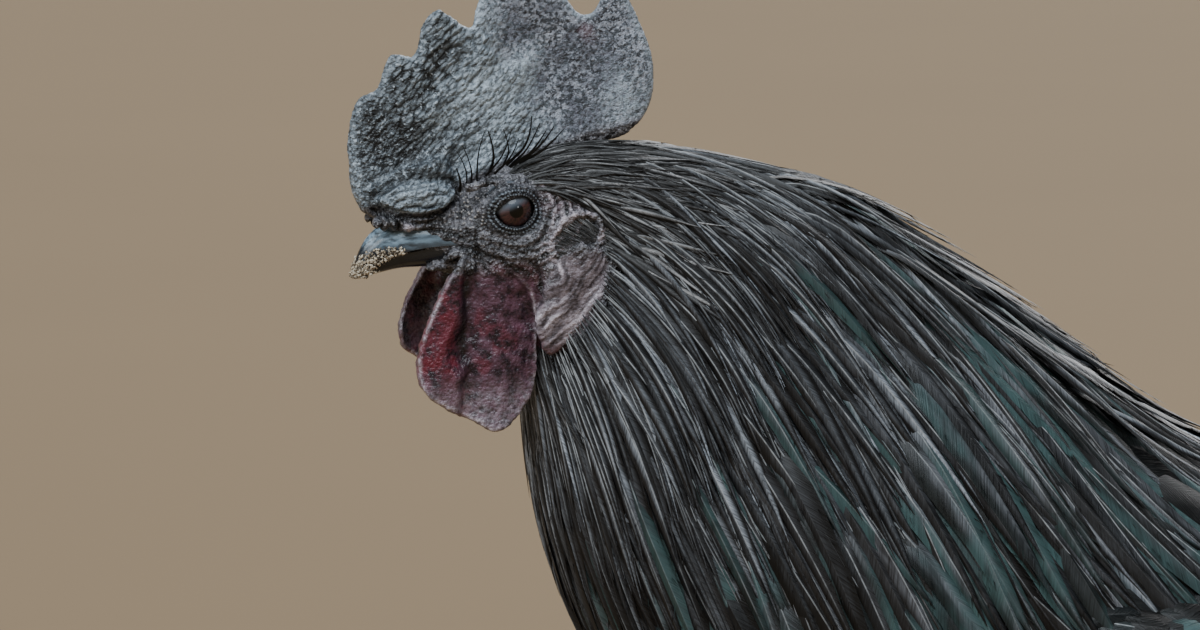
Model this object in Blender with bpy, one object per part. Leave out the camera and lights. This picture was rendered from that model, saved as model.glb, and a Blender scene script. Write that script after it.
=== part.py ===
"""A life-size black rooster that stands with its neck stretched forward.

The bird faces -X with its left side towards -Y, and stands on the plane Z = 0. Sizes are in
millimetres until a mesh is made. Head, neck and trunk are one run of oval sections, parted by
thin cuts; the other pieces are let into them with a small gap.
"""

import math

import bmesh
import bpy
import numpy as np
from mathutils import Vector

MM = 0.001
GAP = 0.45  # clearance cut round a piece that is let into its neighbour
PARTING = 0.35  # thickness of a cut between two lengths of the body
BOX_MIDDLE_X = 72.3  # the middle of the bird's length, which becomes the origin

EYE = (-215.0, 385.0)  # x and z of the middle of the eye

# The body's sections, from beak to tail root: x and z on the back, x and z on the underside,
# half width, and how much wider the lower half is than the upper.
SECTIONS = np.array(
    (
        (-244.0, 381.0, -238.0, 370.0, 5.5, 0.00),  # muzzle
        (-229.0, 388.5, -225.0, 365.0, 10.5, 0.02),  # brow
        (-213.0, 396.5, -216.0, 358.0, 14.5, 0.02),  # eye
        (-197.0, 400.0, -211.5, 347.0, 16.0, 0.00),  # ear
        (-178.0, 399.0, -209.0, 331.0, 20.0, 0.00),  # nape
        (-153.0, 394.0, -206.5, 314.0, 27.0, 0.02),
        (-124.0, 385.0, -202.0, 295.0, 36.0, 0.04),  # middle of the neck
        (-94.0, 366.0, -193.0, 272.0, 46.0, 0.06),
        (-62.0, 342.0, -178.0, 245.0, 57.0, 0.08),  # foot of the neck
        (-29.0, 317.0, -156.0, 212.0, 65.0, 0.10),  # shoulder
        (2.0, 302.0, -126.0, 185.0, 69.0, 0.12),
        (30.0, 295.0, -86.0, 167.0, 70.0, 0.14),  # deepest part
        (55.0, 292.0, -42.0, 160.0, 67.0, 0.12),
        (78.0, 292.0, 0.0, 163.0, 61.0, 0.10),
        (98.0, 295.0, 38.0, 177.0, 52.0, 0.08),
        (114.0, 300.0, 70.0, 199.0, 41.0, 0.04),
        (127.0, 306.0, 96.0, 230.0, 29.0, 0.00),  # tail root
    )
)
EAR_T, NECK_FOOT_T, TAIL_T = 3.4, 8.0, len(SECTIONS) - 1.0

# Upper bill: x, z of the cutting edge, z of the ridge, half width. Lower bill: x, z of the keel,
# z of the cutting edge, half width.
UPPER_BILL = (
    (-228.5, 375.6, 380.0, 9.4),
    (-236.0, 375.2, 383.0, 8.4),
    (-243.0, 373.8, 382.6, 6.9),
    (-248.5, 371.4, 380.2, 5.2),
    (-252.3, 368.8, 376.6, 3.6),
    (-254.6, 366.6, 372.2, 2.0),
    (-255.6, 365.6, 367.6, 0.8),
)
LOWER_BILL = (
    (-228.5, 369.6, 374.9, 8.4),
    (-236.0, 369.2, 374.5, 7.2),
    (-243.0, 368.9, 373.1, 5.5),
    (-248.0, 368.0, 370.8, 3.9),
    (-251.6, 367.2, 368.6, 2.0),
)

# Fleshy parts, as outlines in x and z measured from the eye, anticlockwise seen from the left.
COMB = (
    (-34.5, -3.0), (-40.0, 2.0), (-42.0, 14.0), (-41.0, 23.0), (-38.7, 29.0), (-34.0, 31.6),
    (-31.7, 38.6), (-29.3, 41.0), (-24.0, 40.2), (-21.6, 48.5), (-18.0, 52.6), (-14.4, 50.3),
    (-8.8, 47.4), (-6.4, 54.5), (-1.0, 67.0), (4.0, 73.0), (10.0, 67.5), (16.5, 57.0),
    (20.8, 50.9), (25.2, 50.8), (29.0, 56.6), (32.6, 60.2), (35.0, 54.0), (37.8, 48.0),
    (41.4, 38.0), (40.8, 26.6), (35.4, 19.0), (26.0, 15.4), (18.0, 12.0), (4.0, 7.0),
    (-12.0, 0.0), (-26.0, -5.5),
)  # fmt: skip
COMB_HUB = (6.0, 16.0)
COMB_EDGE, COMB_ROOT = 1.9, 5.6  # half thickness near the rim and along the base
COMB_BASE_Z, COMB_RISE = 4.0, 34.0  # where it starts to thin, and over what height
COMB_SWAY, COMB_WAVE = 1.3, 9.0  # how far it sways sideways, and the length of the waves
RIM_THINNING = 0.6  # share of its thickness that a lobe loses right at the rim

WATTLE = (
    (-14.5, -13.0), (-21.0, -24.5), (-25.4, -37.0), (-25.0, -46.5), (-19.5, -52.0),
    (-11.0, -56.0), (-5.0, -58.8), (1.6, -54.6), (5.8, -46.5), (6.6, -34.0), (5.6, -23.0),
    (0.0, -16.0), (-7.5, -13.5),
)  # fmt: skip
WATTLE_HUB = (-9.0, -34.0)
WATTLE_TOP_Z, WATTLE_TOP_Y, WATTLE_FOOT_Y = -13.0, 8.0, 11.5
WATTLE_DROP = 46.0  # from its top to its foot
WATTLE_RISE = WATTLE_TOP_Z - WATTLE_HUB[1]  # from the hub up to the top
WATTLE_CUP, WATTLE_CUP_WIDTH = 3.6, 16.0  # how far the front rim turns outwards, and over what width
WATTLE_EDGE = 1.7  # half thickness
RIGHT_WATTLE_DROP = 0.75  # the right lobe is drawn up a little: its height as a share of the left

EARLOBE = (
    (16.0, -9.0), (11.5, -13.8), (7.6, -21.0), (6.0, -31.0), (8.7, -38.8), (14.5, -36.0),
    (20.0, -29.0), (24.0, -17.5), (22.5, -11.0),
)  # fmt: skip
EARLOBE_HUB = (14.5, -22.5)
EARLOBE_Y, EARLOBE_EDGE = 15.2, 2.4  # how far out its hub lies, and its half thickness there
EARLOBE_LEAN = (0.055, 0.05)  # how much farther out it lies for each millimetre back and up

EYE_RADIUS = 7.2
EYE_CENTRE_Y = 8.3

# Folded wing, as a pad on the flank: section numbers of its ends, and its two edges as angles
# from the middle of the back.
WING_FIRST_T, WING_LAST_T = 8.9, 15.4
WING_TOP_DEG, WING_FOOT_DEG = 50.0, 116.0
WING_DEPTH, WING_RIM, WING_SINK = 9.5, 1.0, 2.0  # swell, edge over the body, and depth in it
WING_SHOULDER, WING_POINT = 0.22, 0.75  # shares of its length that round off and that taper
WING_NARROWEST = 0.12  # its width at both ends, as a share of the widest
WING_TURN = 0.05  # how far its middle line turns down to the rear, as a share of its width

# Legs: joints of the left leg in x, y, z, and radii there.
HIP, KNEE, CALF = (-80.0, -34.0, 210.0), (-62.0, -39.0, 186.0), (-33.0, -40.0, 150.0)
HOCK, FOOT = (2.0, -38.0, 112.0), (-38.0, -38.0, 12.0)
HIP_R, KNEE_R, CALF_R, HOCK_R = 20.0, 33.0, 24.0, 8.8
PALM_R = 8.5
# The shank's sections: share of the way from hock to palm, and radius there as a share of HOCK_R.
SHANK = ((0.0, 0.55), (0.05, 0.98), (0.13, 0.85), (0.25, 0.66), (0.5, 0.62), (0.8, 0.70), (0.93, 0.88))
# The palm's sections: height above the floor, and radius as a share of PALM_R.
PALM = ((6.0, 1.0), (1.5, 0.95), (0.0, 0.8))
SPUR_HEIGHT, SPUR_LENGTH, SPUR_R = 44.0, 17.0, 4.2
SPUR_AHEAD, SPUR_CURL = (0.86, 0.42, 0.0), 5.0  # its direction, and how far its tip turns up
# Toes: name, heading in degrees from straight ahead (outwards positive), length, radius.
TOES = (
    ("inner", -30.0, 46.0, 4.5),
    ("middle", 3.0, 61.0, 5.0),
    ("outer", 35.0, 49.0, 4.4),
    ("hind", 166.0, 27.0, 3.9),
)
TOE_FLAT, TOE_ARCH = 0.4, 0.5  # how much of a toe's round is cut off level, and its lift between pads
TOE_PADS, TOE_PAD_SWELL = 2, 0.06  # pads between palm and claw, and how much thicker they are
TOE_TAPER, CLAW_TAPER, SPUR_TAPER = 0.26, 0.8, 0.88  # share of the radius lost towards the tip
CLAW_LENGTH, CLAW_R = 12.5, 2.5
CLAW_BOW, CLAW_TIP_Z = 1.1, 0.7  # how far it bows up, and the height of its tip

# Tail: the fan of stiff feathers and the curved sickles, seen from the side.
TAIL_ROOT = (112.0, 270.0)
FAN_FIRST_DEG, FAN_LAST_DEG = 16.0, 80.0
FAN_FEATHERS, FAN_LENGTH = 7, 180.0
FAN_ROOT_Y, FAN_TIP_Y = 18.0, 6.0  # half the gap between its two sides
FAN_RIDGE = 0.35  # that gap along the top, as a share of the gap along the foot
FAN_SCALLOP, FAN_CORNER = 0.05, 0.1  # shares of the length lost between feathers and at the ends
# Sickles: name, direction at the root, length, drop of direction along it, width, y at root, y at tip.
SICKLES = (
    ("main", 84.0, 430.0, 150.0, 27.0, 6.0, 10.0),
    ("second", 72.0, 360.0, 146.0, 24.0, 12.0, 19.0),
    ("third", 58.0, 300.0, 140.0, 22.0, 16.0, 28.0),
    ("fourth", 44.0, 240.0, 132.0, 20.0, 20.0, 36.0),
)
SICKLE_ROOT = (110.0, 284.0)
SICKLE_HALF = 0.975  # half thickness along the shaft
SICKLE_BEND = 1.25  # above 1, the blade bends most towards its tip

COLOURS = {
    "skin": ((0.055, 0.058, 0.066), 0.45, 0.0),
    "comb": ((0.070, 0.078, 0.090), 0.42, 0.0),
    "wattle": ((0.105, 0.030, 0.042), 0.48, 0.0),
    "bill": ((0.060, 0.080, 0.095), 0.30, 0.0),
    "eye": ((0.060, 0.022, 0.015), 0.08, 0.0),
    "plumage": ((0.012, 0.013, 0.015), 0.42, 0.0),
    "tail": ((0.010, 0.024, 0.024), 0.35, 0.1),
    "leg": ((0.045, 0.048, 0.054), 0.50, 0.0),
    "claw": ((0.030, 0.030, 0.032), 0.35, 0.0),
}


# Curves and sections


def spline(rows, t):
    """Values on a smooth curve through rows at parameter t, which counts rows from 0."""
    rows = np.asarray(rows, float)
    t = np.clip(np.asarray(t, float), 0.0, len(rows) - 1.0)
    k = np.minimum(t.astype(int), len(rows) - 2)
    u = (t - k)[..., None]
    ahead, behind = np.minimum(k + 2, len(rows) - 1), np.maximum(k - 1, 0)
    p0, p1, p2, p3 = rows[behind], rows[k], rows[k + 1], rows[ahead]
    bend = u * u * (2 * p0 - 5 * p1 + 4 * p2 - p3) + u**3 * (3 * p1 - p0 - 3 * p2 + p3)
    return p1 + 0.5 * (u * (p2 - p0) + bend)


def closed_spline(rows, count):
    """count points spaced along a smooth closed curve through rows."""
    rows = np.asarray(rows, float)
    wrapped = np.vstack((rows[-2:], rows, rows[:3]))
    t = 2.0 + np.arange(count) * len(rows) / count
    return spline(wrapped, t)


def body_points(t, angle, proud=0.0):
    """Points on the body at section t and at an angle from the back, + towards the left side."""
    s = spline(SECTIONS, t)
    back, belly = s[..., 0:2], s[..., 2:4]
    middle, up = (back + belly) / 2, (back - belly) / 2
    half_height = np.linalg.norm(up, axis=-1)
    rise = np.cos(angle) * (1.0 + proud / half_height)
    width = (s[..., 4] + proud) * (1.0 - s[..., 5] * np.cos(angle)) * np.sin(angle)
    xz = middle + up * rise[..., None]
    return np.stack((xz[..., 0], -width, xz[..., 1]), axis=-1)


def ring_angles(count):
    return np.arange(count) * math.tau / count


# Mesh makers


def material(name):
    mat = bpy.data.materials.get(name)
    if mat is None:
        colour, roughness, metallic = COLOURS[name]
        mat = bpy.data.materials.new(name)
        mat.use_nodes = True
        shader = mat.node_tree.nodes["Principled BSDF"]
        shader.inputs["Base Color"].default_value = (*colour, 1.0)
        shader.inputs["Roughness"].default_value = roughness
        shader.inputs["Metallic"].default_value = metallic
        mat.diffuse_color = (*colour, 1.0)
    return mat


def finish(name, bm, finish_name, origin):
    """Turns bm, in millimetres, into an object in metres with its origin at origin."""
    bmesh.ops.recalc_face_normals(bm, faces=bm.faces)
    for vert in bm.verts:
        vert.co = (vert.co - Vector(origin)) * MM
    mesh = bpy.data.meshes.new(name)
    bm.to_mesh(mesh)
    bm.free()
    mesh.materials.append(material(finish_name))
    mesh.shade_smooth()
    mesh.set_sharp_from_angle(angle=math.radians(40))
    obj = bpy.data.objects.new(name, mesh)
    obj.location = Vector(origin) * MM
    obj.parent = ROOSTER
    bpy.context.collection.objects.link(obj)
    return obj


def loft(name, rings, finish_name, origin=None):
    """A closed solid through rings of points, with flat ends."""
    bm = bmesh.new()
    loops = [[bm.verts.new(Vector(p)) for p in ring] for ring in rings]
    for near, far in zip(loops, loops[1:]):
        for i in range(len(near)):
            bm.faces.new((near[i - 1], near[i], far[i], far[i - 1]))
    bm.faces.new(loops[0])
    bm.faces.new(loops[-1])
    start = rings[0].mean(axis=0) if origin is None else origin
    return finish(name, bm, finish_name, start)


def lobe(name, outline, hub, surface, finish_name, count=40, steps=(0.55, 0.9)):
    """A flat lobe: an outline in x and z, and surface(x, z, share) that gives y and half thickness,
    where share is how far out towards the rim a point lies."""
    rim = closed_spline(outline, count)
    hub = np.asarray(hub, float)
    bm = bmesh.new()

    def row(share, side):
        at = hub + (rim - hub) * share
        y, half = surface(at[:, 0], at[:, 1], share)
        return [
            bm.verts.new((EYE[0] + x, yy + side * h, EYE[1] + z))
            for x, z, yy, h in zip(at[:, 0], at[:, 1], y, half)
        ]

    edge = row(1.0, 0.0)
    for side in (-1.0, 1.0):
        rows = [row(share, side) for share in steps] + [edge]
        y, half = surface(hub[:1], hub[1:], 0.0)
        centre = bm.verts.new((EYE[0] + hub[0], y[0] + side * half[0], EYE[1] + hub[1]))
        for i in range(count):
            bm.faces.new((centre, rows[0][i - 1], rows[0][i]))
            for near, far in zip(rows, rows[1:]):
                bm.faces.new((near[i - 1], far[i - 1], far[i], near[i]))
    return finish(name, bm, finish_name, (EYE[0] + hub[0], 0.0, EYE[1] + hub[1]))


def tube(name, path, radii, finish_name, count=12, on_floor=False):
    """A solid of round sections along path. With on_floor its ends stand upright and nothing
    reaches below the floor."""
    path = np.asarray(path, float)
    ahead = np.gradient(path, axis=0)
    if on_floor:
        ahead[[0, -1], 2] = 0.0
    ahead /= np.linalg.norm(ahead, axis=1, keepdims=True)
    across = np.cross(ahead, (0.0, 0.0, 1.0))
    flat = np.cross(path[-1] - path[0], (0.0, 0.0, 1.0))
    across = np.where(np.linalg.norm(across, axis=1, keepdims=True) < 0.05, flat, across)
    across /= np.linalg.norm(across, axis=1, keepdims=True)
    up = np.cross(across, ahead)
    angle = ring_angles(count)[:, None]
    rings = []
    for p, a, u, r in zip(path, across, up, radii):
        ring = p + r * (np.cos(angle) * a + np.sin(angle) * u)
        if on_floor:
            ring[:, 2] = np.maximum(ring[:, 2], 0.0)
        rings.append(ring)
    return loft(name, rings, finish_name, origin=path[0])


def mirrored(obj, name):
    """The right-hand copy of a left-hand piece."""
    mesh = obj.data.copy()
    mesh.name = name
    for vert in mesh.vertices:
        vert.co.y = -vert.co.y
    mesh.flip_normals()
    twin = bpy.data.objects.new(name, mesh)
    twin.location = obj.location
    twin.location.y = -obj.location.y
    twin.parent = ROOSTER
    bpy.context.collection.objects.link(twin)
    return twin


def let_in(host, *guests):
    """Cuts the shape of each guest, grown by the gap, out of host."""
    for guest in guests:
        name = "cutter_" + guest.name
        cutter = bpy.data.objects.get(name)
        if cutter is None:
            bm = bmesh.new()
            bm.from_mesh(guest.data)
            bm.normal_update()
            moves = [vert.normal * GAP * MM for vert in bm.verts]
            for vert, move in zip(bm.verts, moves):
                vert.co += move
            mesh = bpy.data.meshes.new(name)
            bm.to_mesh(mesh)
            bm.free()
            cutter = bpy.data.objects.new(name, mesh)
            cutter.location = guest.location
            cutter.parent = ROOSTER
            cutter.hide_render = True
            cutter.display_type = "WIRE"
            bpy.context.collection.objects.link(cutter)
        cut = host.modifiers.new(guest.name, "BOOLEAN")
        cut.operation = "DIFFERENCE"
        cut.solver = "EXACT"
        cut.object = cutter


# Body


def body_length(name, first, last, rings, finish_name, count):
    """The stretch of the body between two section numbers."""
    angle = ring_angles(count)
    stations = np.linspace(first, last, rings)
    return loft(name, [body_points(np.full(count, t), angle) for t in stations], finish_name)


def parting_in_t(t):
    """How much t changes across one parting cut, on the underside where sections lie closest."""
    step = 0.01
    near, far = spline(SECTIONS, t), spline(SECTIONS, t + step)
    return PARTING * step / np.linalg.norm(far[2:4] - near[2:4])


def make_body():
    ear, foot = parting_in_t(EAR_T), parting_in_t(NECK_FOOT_T)
    head = body_length("head", 0.0, EAR_T - ear, 8, "skin", count=20)
    neck = body_length("neck", EAR_T, NECK_FOOT_T - foot, 9, "plumage", count=22)
    trunk = body_length("trunk", NECK_FOOT_T, TAIL_T, 14, "plumage", count=24)
    return head, neck, trunk


def bill(name, rows, upper):
    """Half of the bill: flat along the cutting edge, arched on the other side."""
    arch = np.linspace(0.0, math.pi, 9)
    rings = []
    for x, low, high, half in spline(rows, np.linspace(0, len(rows) - 1, 8)):
        across = -half * np.cos(arch)
        share = np.sin(arch) ** 0.8
        z = low + (high - low) * share if upper else high - (high - low) * share
        rings.append(np.stack((np.full_like(arch, x), across, z), axis=1))
    return loft(name, rings, "bill")


def comb_surface(x, z, share):
    """Thick along the base, thin at the rim, and slightly wavy."""
    height = np.clip((z - COMB_BASE_Z) / COMB_RISE, 0.0, 1.0)
    half = COMB_ROOT + (COMB_EDGE - COMB_ROOT) * height**0.6
    sway = COMB_SWAY * np.sin(x / COMB_WAVE) * height
    return sway, half * (1.0 - RIM_THINNING * share**6)


def wattle_surface(x, z, share):
    """Hangs outwards a little, with its front rim turned out."""
    drop = np.clip((WATTLE_TOP_Z - z) / WATTLE_DROP, 0.0, 1.0)
    out = WATTLE_TOP_Y + (WATTLE_FOOT_Y - WATTLE_TOP_Y) * drop
    forward = np.clip((WATTLE_HUB[0] - x) / WATTLE_CUP_WIDTH, 0.0, 1.0)
    half = np.full_like(x, WATTLE_EDGE * (1.0 - RIM_THINNING * share**6))
    return -(out + WATTLE_CUP * share**2 * forward), half


def earlobe_surface(x, z, share):
    """A cushion that leans out to the rear."""
    half = np.full_like(x, EARLOBE_EDGE * math.sqrt(1.0 - 0.85 * share**2))
    back, up = x - EARLOBE_HUB[0], z - EARLOBE_HUB[1]
    return -(EARLOBE_Y + EARLOBE_LEAN[0] * back + EARLOBE_LEAN[1] * up), half


def make_head_pieces(head, neck):
    upper = bill("bill_upper", UPPER_BILL, True)
    lower = bill("bill_lower", LOWER_BILL, False)
    comb = lobe("comb", COMB, COMB_HUB, comb_surface, "comb", count=46)
    left_wattle = lobe("wattle_left", WATTLE, WATTLE_HUB, wattle_surface, "wattle", count=26)
    right_wattle = mirrored(left_wattle, "wattle_right")
    for vert in right_wattle.data.vertices:
        vert.co.z += (RIGHT_WATTLE_DROP - 1.0) * (vert.co.z - WATTLE_RISE * MM)
    earlobe = lobe("earlobe_left", EARLOBE, EARLOBE_HUB, earlobe_surface, "skin", count=18)
    twin_lobe = mirrored(earlobe, "earlobe_right")
    eye = make_eye()
    twin_eye = mirrored(eye, "eye_right")
    let_in(comb, upper)
    let_in(head, comb, upper, lower, left_wattle, right_wattle, earlobe, twin_lobe, eye, twin_eye)
    let_in(neck, earlobe, twin_lobe, left_wattle, right_wattle, comb)


def make_eye():
    bm = bmesh.new()
    bmesh.ops.create_uvsphere(bm, u_segments=12, v_segments=7, radius=EYE_RADIUS)
    centre = Vector((EYE[0], -EYE_CENTRE_Y, EYE[1]))
    bmesh.ops.translate(bm, verts=bm.verts, vec=centre)
    return finish("eye_left", bm, "eye", centre)


# Wings


def grid_rim(grid):
    """The vertices along the four edges of a grid, in order."""
    return grid[0] + [row[-1] for row in grid[1:]] + grid[-1][-2::-1] + [row[0] for row in grid[-2:0:-1]]


def make_wing(trunk):
    """A leaf-shaped pad that lies on the flank, thickest in the middle."""
    along, across = 12, 7
    u = np.linspace(0.0, 1.0, along)[:, None]
    v = np.linspace(0.0, 1.0, across)[None, :]
    t = WING_FIRST_T + (WING_LAST_T - WING_FIRST_T) * u + 0.0 * v
    shoulder = np.clip(u / WING_SHOULDER, 0.0, 1.0) ** 0.6
    point = np.clip((1.0 - u) / WING_POINT, 0.0, 1.0) ** 0.8
    spread = WING_NARROWEST + (1.0 - WING_NARROWEST) * shoulder * point
    middle = WING_TOP_DEG + (0.5 + WING_TURN * u) * (WING_FOOT_DEG - WING_TOP_DEG)
    half = 0.5 * (WING_FOOT_DEG - WING_TOP_DEG) * spread
    angle = np.radians(middle + half * (2.0 * v - 1.0))
    swell = np.abs(np.sin(np.pi * v)) ** 0.6 * np.abs(np.sin(np.pi * u)) ** 0.4
    inner = body_points(t, angle, -WING_SINK)
    outer = body_points(t, angle, GAP + WING_RIM + WING_DEPTH * swell)
    bm = bmesh.new()
    skins = [[[bm.verts.new(p) for p in row] for row in face] for face in (inner, outer)]
    for grid in skins:
        for a, b in zip(grid, grid[1:]):
            for i in range(across - 1):
                bm.faces.new((a[i], a[i + 1], b[i + 1], b[i]))
    low_rim, high_rim = (grid_rim(grid) for grid in skins)
    for i in range(len(low_rim)):
        bm.faces.new((low_rim[i - 1], low_rim[i], high_rim[i], high_rim[i - 1]))
    wing = finish("wing_left", bm, "plumage", outer[0, across // 2])
    twin = mirrored(wing, "wing_right")
    let_in(wing, trunk)
    let_in(twin, trunk)
    return wing, twin


# Legs


def make_thigh():
    """The feathered drumstick, from inside the body to the hock."""
    joint = np.linspace(0.0, 3.0, 10)
    path = spline((HIP, KNEE, CALF, HOCK), joint)
    radii = spline(((HIP_R,), (KNEE_R,), (CALF_R,), (HOCK_R,)), joint)[:, 0]
    return tube("thigh_left", path, radii, "plumage", count=12)


def make_shank():
    """The scaled shank: a knob at the hock, a slim middle and the palm at the floor."""
    hock, foot = np.array(HOCK), np.array(FOOT)
    share, shank_radii = np.array(SHANK).T
    height, palm_radii = np.array(PALM).T
    bone = hock + (foot - hock) * share[:, None]
    palm = foot * (1.0, 1.0, 0.0) + height[:, None] * (0.0, 0.0, 1.0)
    radii = np.append(shank_radii * HOCK_R, palm_radii * PALM_R)
    return tube("shank_left", np.vstack((bone, palm)), radii, "leg", count=10)


def toe_path(heading, length, radius):
    """A toe's line and radii: it leaves the palm, lies on a pad at each joint and tapers."""
    share = np.linspace(0.0, 1.0, 9)
    turn = math.radians(heading)
    ahead = np.array((-math.cos(turn), -math.sin(turn), 0.0))
    pad = np.cos(share * TOE_PADS * math.tau)
    radii = radius * (1.0 - TOE_TAPER * share) * (1.0 + TOE_PAD_SWELL * pad)
    path = FOOT * np.array((1.0, 1.0, 0.0)) + ahead * (share[:, None] * length)
    path[:, 2] = radii - TOE_FLAT + TOE_ARCH * (1.0 - pad) / 2
    return path, radii, ahead


def make_foot(shank):
    """Four toes with their claws."""
    toes = []
    for name, heading, length, radius in TOES:
        path, radii, ahead = toe_path(heading, length, radius)
        toe = tube(f"toe_left_{name}", path, radii, "leg", count=8, on_floor=True)
        let_in(toe, shank, *toes[-1:])
        if name == "outer":
            let_in(toe, *toes[:1])
        toes.append(toe)
        tip = path[-1] + ahead * PARTING
        bend = np.linspace(0.0, 1.0, 5)
        claw = tip + ahead * (CLAW_LENGTH * bend[:, None])
        claw[:, 2] = tip[2] + CLAW_BOW * np.sin(bend * math.pi) - (tip[2] - CLAW_TIP_Z) * bend**2
        claw_radii = CLAW_R * (1.0 - CLAW_TAPER * bend)
        tube(f"claw_left_{name}", claw, claw_radii, "claw", count=7, on_floor=True)
    return toes


def make_spur(shank):
    """The horn spur on the inner back of the shank."""
    hock, foot = np.array(HOCK), np.array(FOOT)
    root = foot + (hock - foot) * SPUR_HEIGHT / (HOCK[2] - FOOT[2])
    bend = np.linspace(0.0, 1.0, 6)[:, None]
    path = root + np.array(SPUR_AHEAD) * SPUR_LENGTH * bend
    path[:, 2] += SPUR_CURL * bend[:, 0] ** 2
    radii = SPUR_R * (1.0 - SPUR_TAPER * bend[:, 0])
    spur = tube("spur_left", path, radii, "claw", count=8)
    let_in(spur, shank)
    return spur


def make_legs(trunk, wings):
    thigh = make_thigh()
    shank = make_shank()
    toes = make_foot(shank)
    spur = make_spur(shank)
    claws = [bpy.data.objects[f"claw_left_{toe[0]}"] for toe in TOES]
    let_in(thigh, shank)
    pieces = [thigh, shank, *toes, spur, *claws]
    twins = {piece: mirrored(piece, piece.name.replace("left", "right")) for piece in pieces}
    for piece, twin in twins.items():
        guests = [cut.name for cut in piece.modifiers]
        let_in(twin, *(bpy.data.objects[n.replace("left", "right")] for n in guests))
    for leg, wing in ((thigh, wings[0]), (twins[thigh], wings[1])):
        let_in(leg, trunk, wing)


# Tail


def make_fan(trunk):
    """The stiff tail feathers: two sides leaned together like a tent, with a scalloped edge."""
    root = np.array((TAIL_ROOT[0], 0.0, TAIL_ROOT[1]))
    feather = np.linspace(0.0, FAN_FEATHERS, FAN_FEATHERS * 3 + 1)
    turns = np.radians(FAN_FIRST_DEG + (FAN_LAST_DEG - FAN_FIRST_DEG) * feather / FAN_FEATHERS)
    scallop = 1.0 - FAN_SCALLOP * (2.0 * (feather % 1.0) - 1.0) ** 2
    corner = np.clip(np.minimum(feather, FAN_FEATHERS - feather) / 0.7, 0.0, 1.0)
    reach = FAN_LENGTH * scallop * (1.0 - FAN_CORNER * (1.0 - np.sqrt(corner)))
    rings = []
    for share in (0.06, 0.35, 0.7, 1.0):
        out = np.stack((np.cos(turns), 0 * turns, np.sin(turns)), axis=1)
        line = root + out * (reach * share)[:, None]
        lean = np.linspace(1.0, FAN_RIDGE, len(turns))
        half = (FAN_ROOT_Y + (FAN_TIP_Y - FAN_ROOT_Y) * share) * lean
        side = np.stack((0 * half, half, 0 * half), axis=1)
        rings.append(np.vstack((line - side, (line + side)[::-1])))
    fan = loft("tail_fan", rings, "tail")
    let_in(fan, trunk)
    return fan


def make_sickle(name, first_deg, length, drop, width, root_y, tip_y):
    """A long tail feather: a thin blade along a line that bends over backwards."""
    share = np.linspace(0.0, 1.0, 15)
    turn = np.radians(first_deg - drop * share**SICKLE_BEND)
    step = length / (len(share) - 1)
    x = SICKLE_ROOT[0] + np.concatenate(([0.0], np.cumsum(np.cos(turn[:-1])))) * step
    z = SICKLE_ROOT[1] + np.concatenate(([0.0], np.cumsum(np.sin(turn[:-1])))) * step
    y = -(root_y + (tip_y - root_y) * share)
    half = width / 2 * np.clip(share * 6 + 0.35, 0, 1) * np.clip((1 - share) * 3.2, 0.02, 1) ** 0.6
    rings = []
    for xx, yy, zz, a, h in zip(x, y, z, turn, half):
        across = np.array((-math.sin(a), 0.0, math.cos(a)))
        mid = np.array((xx, yy, zz))
        out = np.array((0.0, SICKLE_HALF, 0.0))
        corners = (mid - across * h, mid - out, mid + across * h, mid + out)
        rings.append(np.array(corners))
    return loft(f"sickle_left_{name}", rings, "tail")


def make_tail(trunk):
    fan = make_fan(trunk)
    for row in SICKLES:
        left = make_sickle(*row)
        for sickle in (left, mirrored(left, left.name.replace("left", "right"))):
            let_in(sickle, trunk, fan)


def clear_scene():
    for obj in list(bpy.data.objects):
        bpy.data.objects.remove(obj, do_unlink=True)


clear_scene()
ROOSTER = bpy.data.objects.new("rooster", None)
ROOSTER.location.x = -BOX_MIDDLE_X * MM
bpy.context.collection.objects.link(ROOSTER)
HEAD, NECK, TRUNK = make_body()
make_head_pieces(HEAD, NECK)
make_legs(TRUNK, make_wing(TRUNK))
make_tail(TRUNK)
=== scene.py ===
"""The looks of a life-size black rooster: one skin, bill, eyes, legs and plumage round its frame.

The bird faces -X with its left side towards -Y. Shapes are worked out in millimetres, measured
along the bird's own length, and set into the frame when a mesh is made. Parts of the head are
given in x and z from the middle of the eye.
"""

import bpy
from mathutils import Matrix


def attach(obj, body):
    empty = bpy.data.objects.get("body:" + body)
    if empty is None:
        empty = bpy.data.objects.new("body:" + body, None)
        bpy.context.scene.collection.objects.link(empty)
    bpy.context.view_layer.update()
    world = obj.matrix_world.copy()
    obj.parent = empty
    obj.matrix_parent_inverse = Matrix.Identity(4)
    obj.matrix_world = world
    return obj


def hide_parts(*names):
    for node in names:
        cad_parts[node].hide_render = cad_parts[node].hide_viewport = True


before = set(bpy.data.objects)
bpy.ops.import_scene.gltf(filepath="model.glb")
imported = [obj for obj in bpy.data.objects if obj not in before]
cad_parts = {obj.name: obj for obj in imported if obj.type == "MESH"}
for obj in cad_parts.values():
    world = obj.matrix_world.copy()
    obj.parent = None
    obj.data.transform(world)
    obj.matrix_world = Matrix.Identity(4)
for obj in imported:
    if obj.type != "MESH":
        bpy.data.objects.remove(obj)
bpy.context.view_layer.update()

import math
from itertools import product
from typing import Callable, NamedTuple

import bpy
import numpy as np
from mathutils import Vector

bl_info = {
    "name": "Black rooster",
    "version": (1, 0, 0),
    "blender": (4, 5, 0),
    "location": "3D View > Sidebar > Rooster",
    "description": "Builds the skin, bill, eyes, legs and plumage of a life-size black rooster",
    "category": "Object",
}

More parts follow.
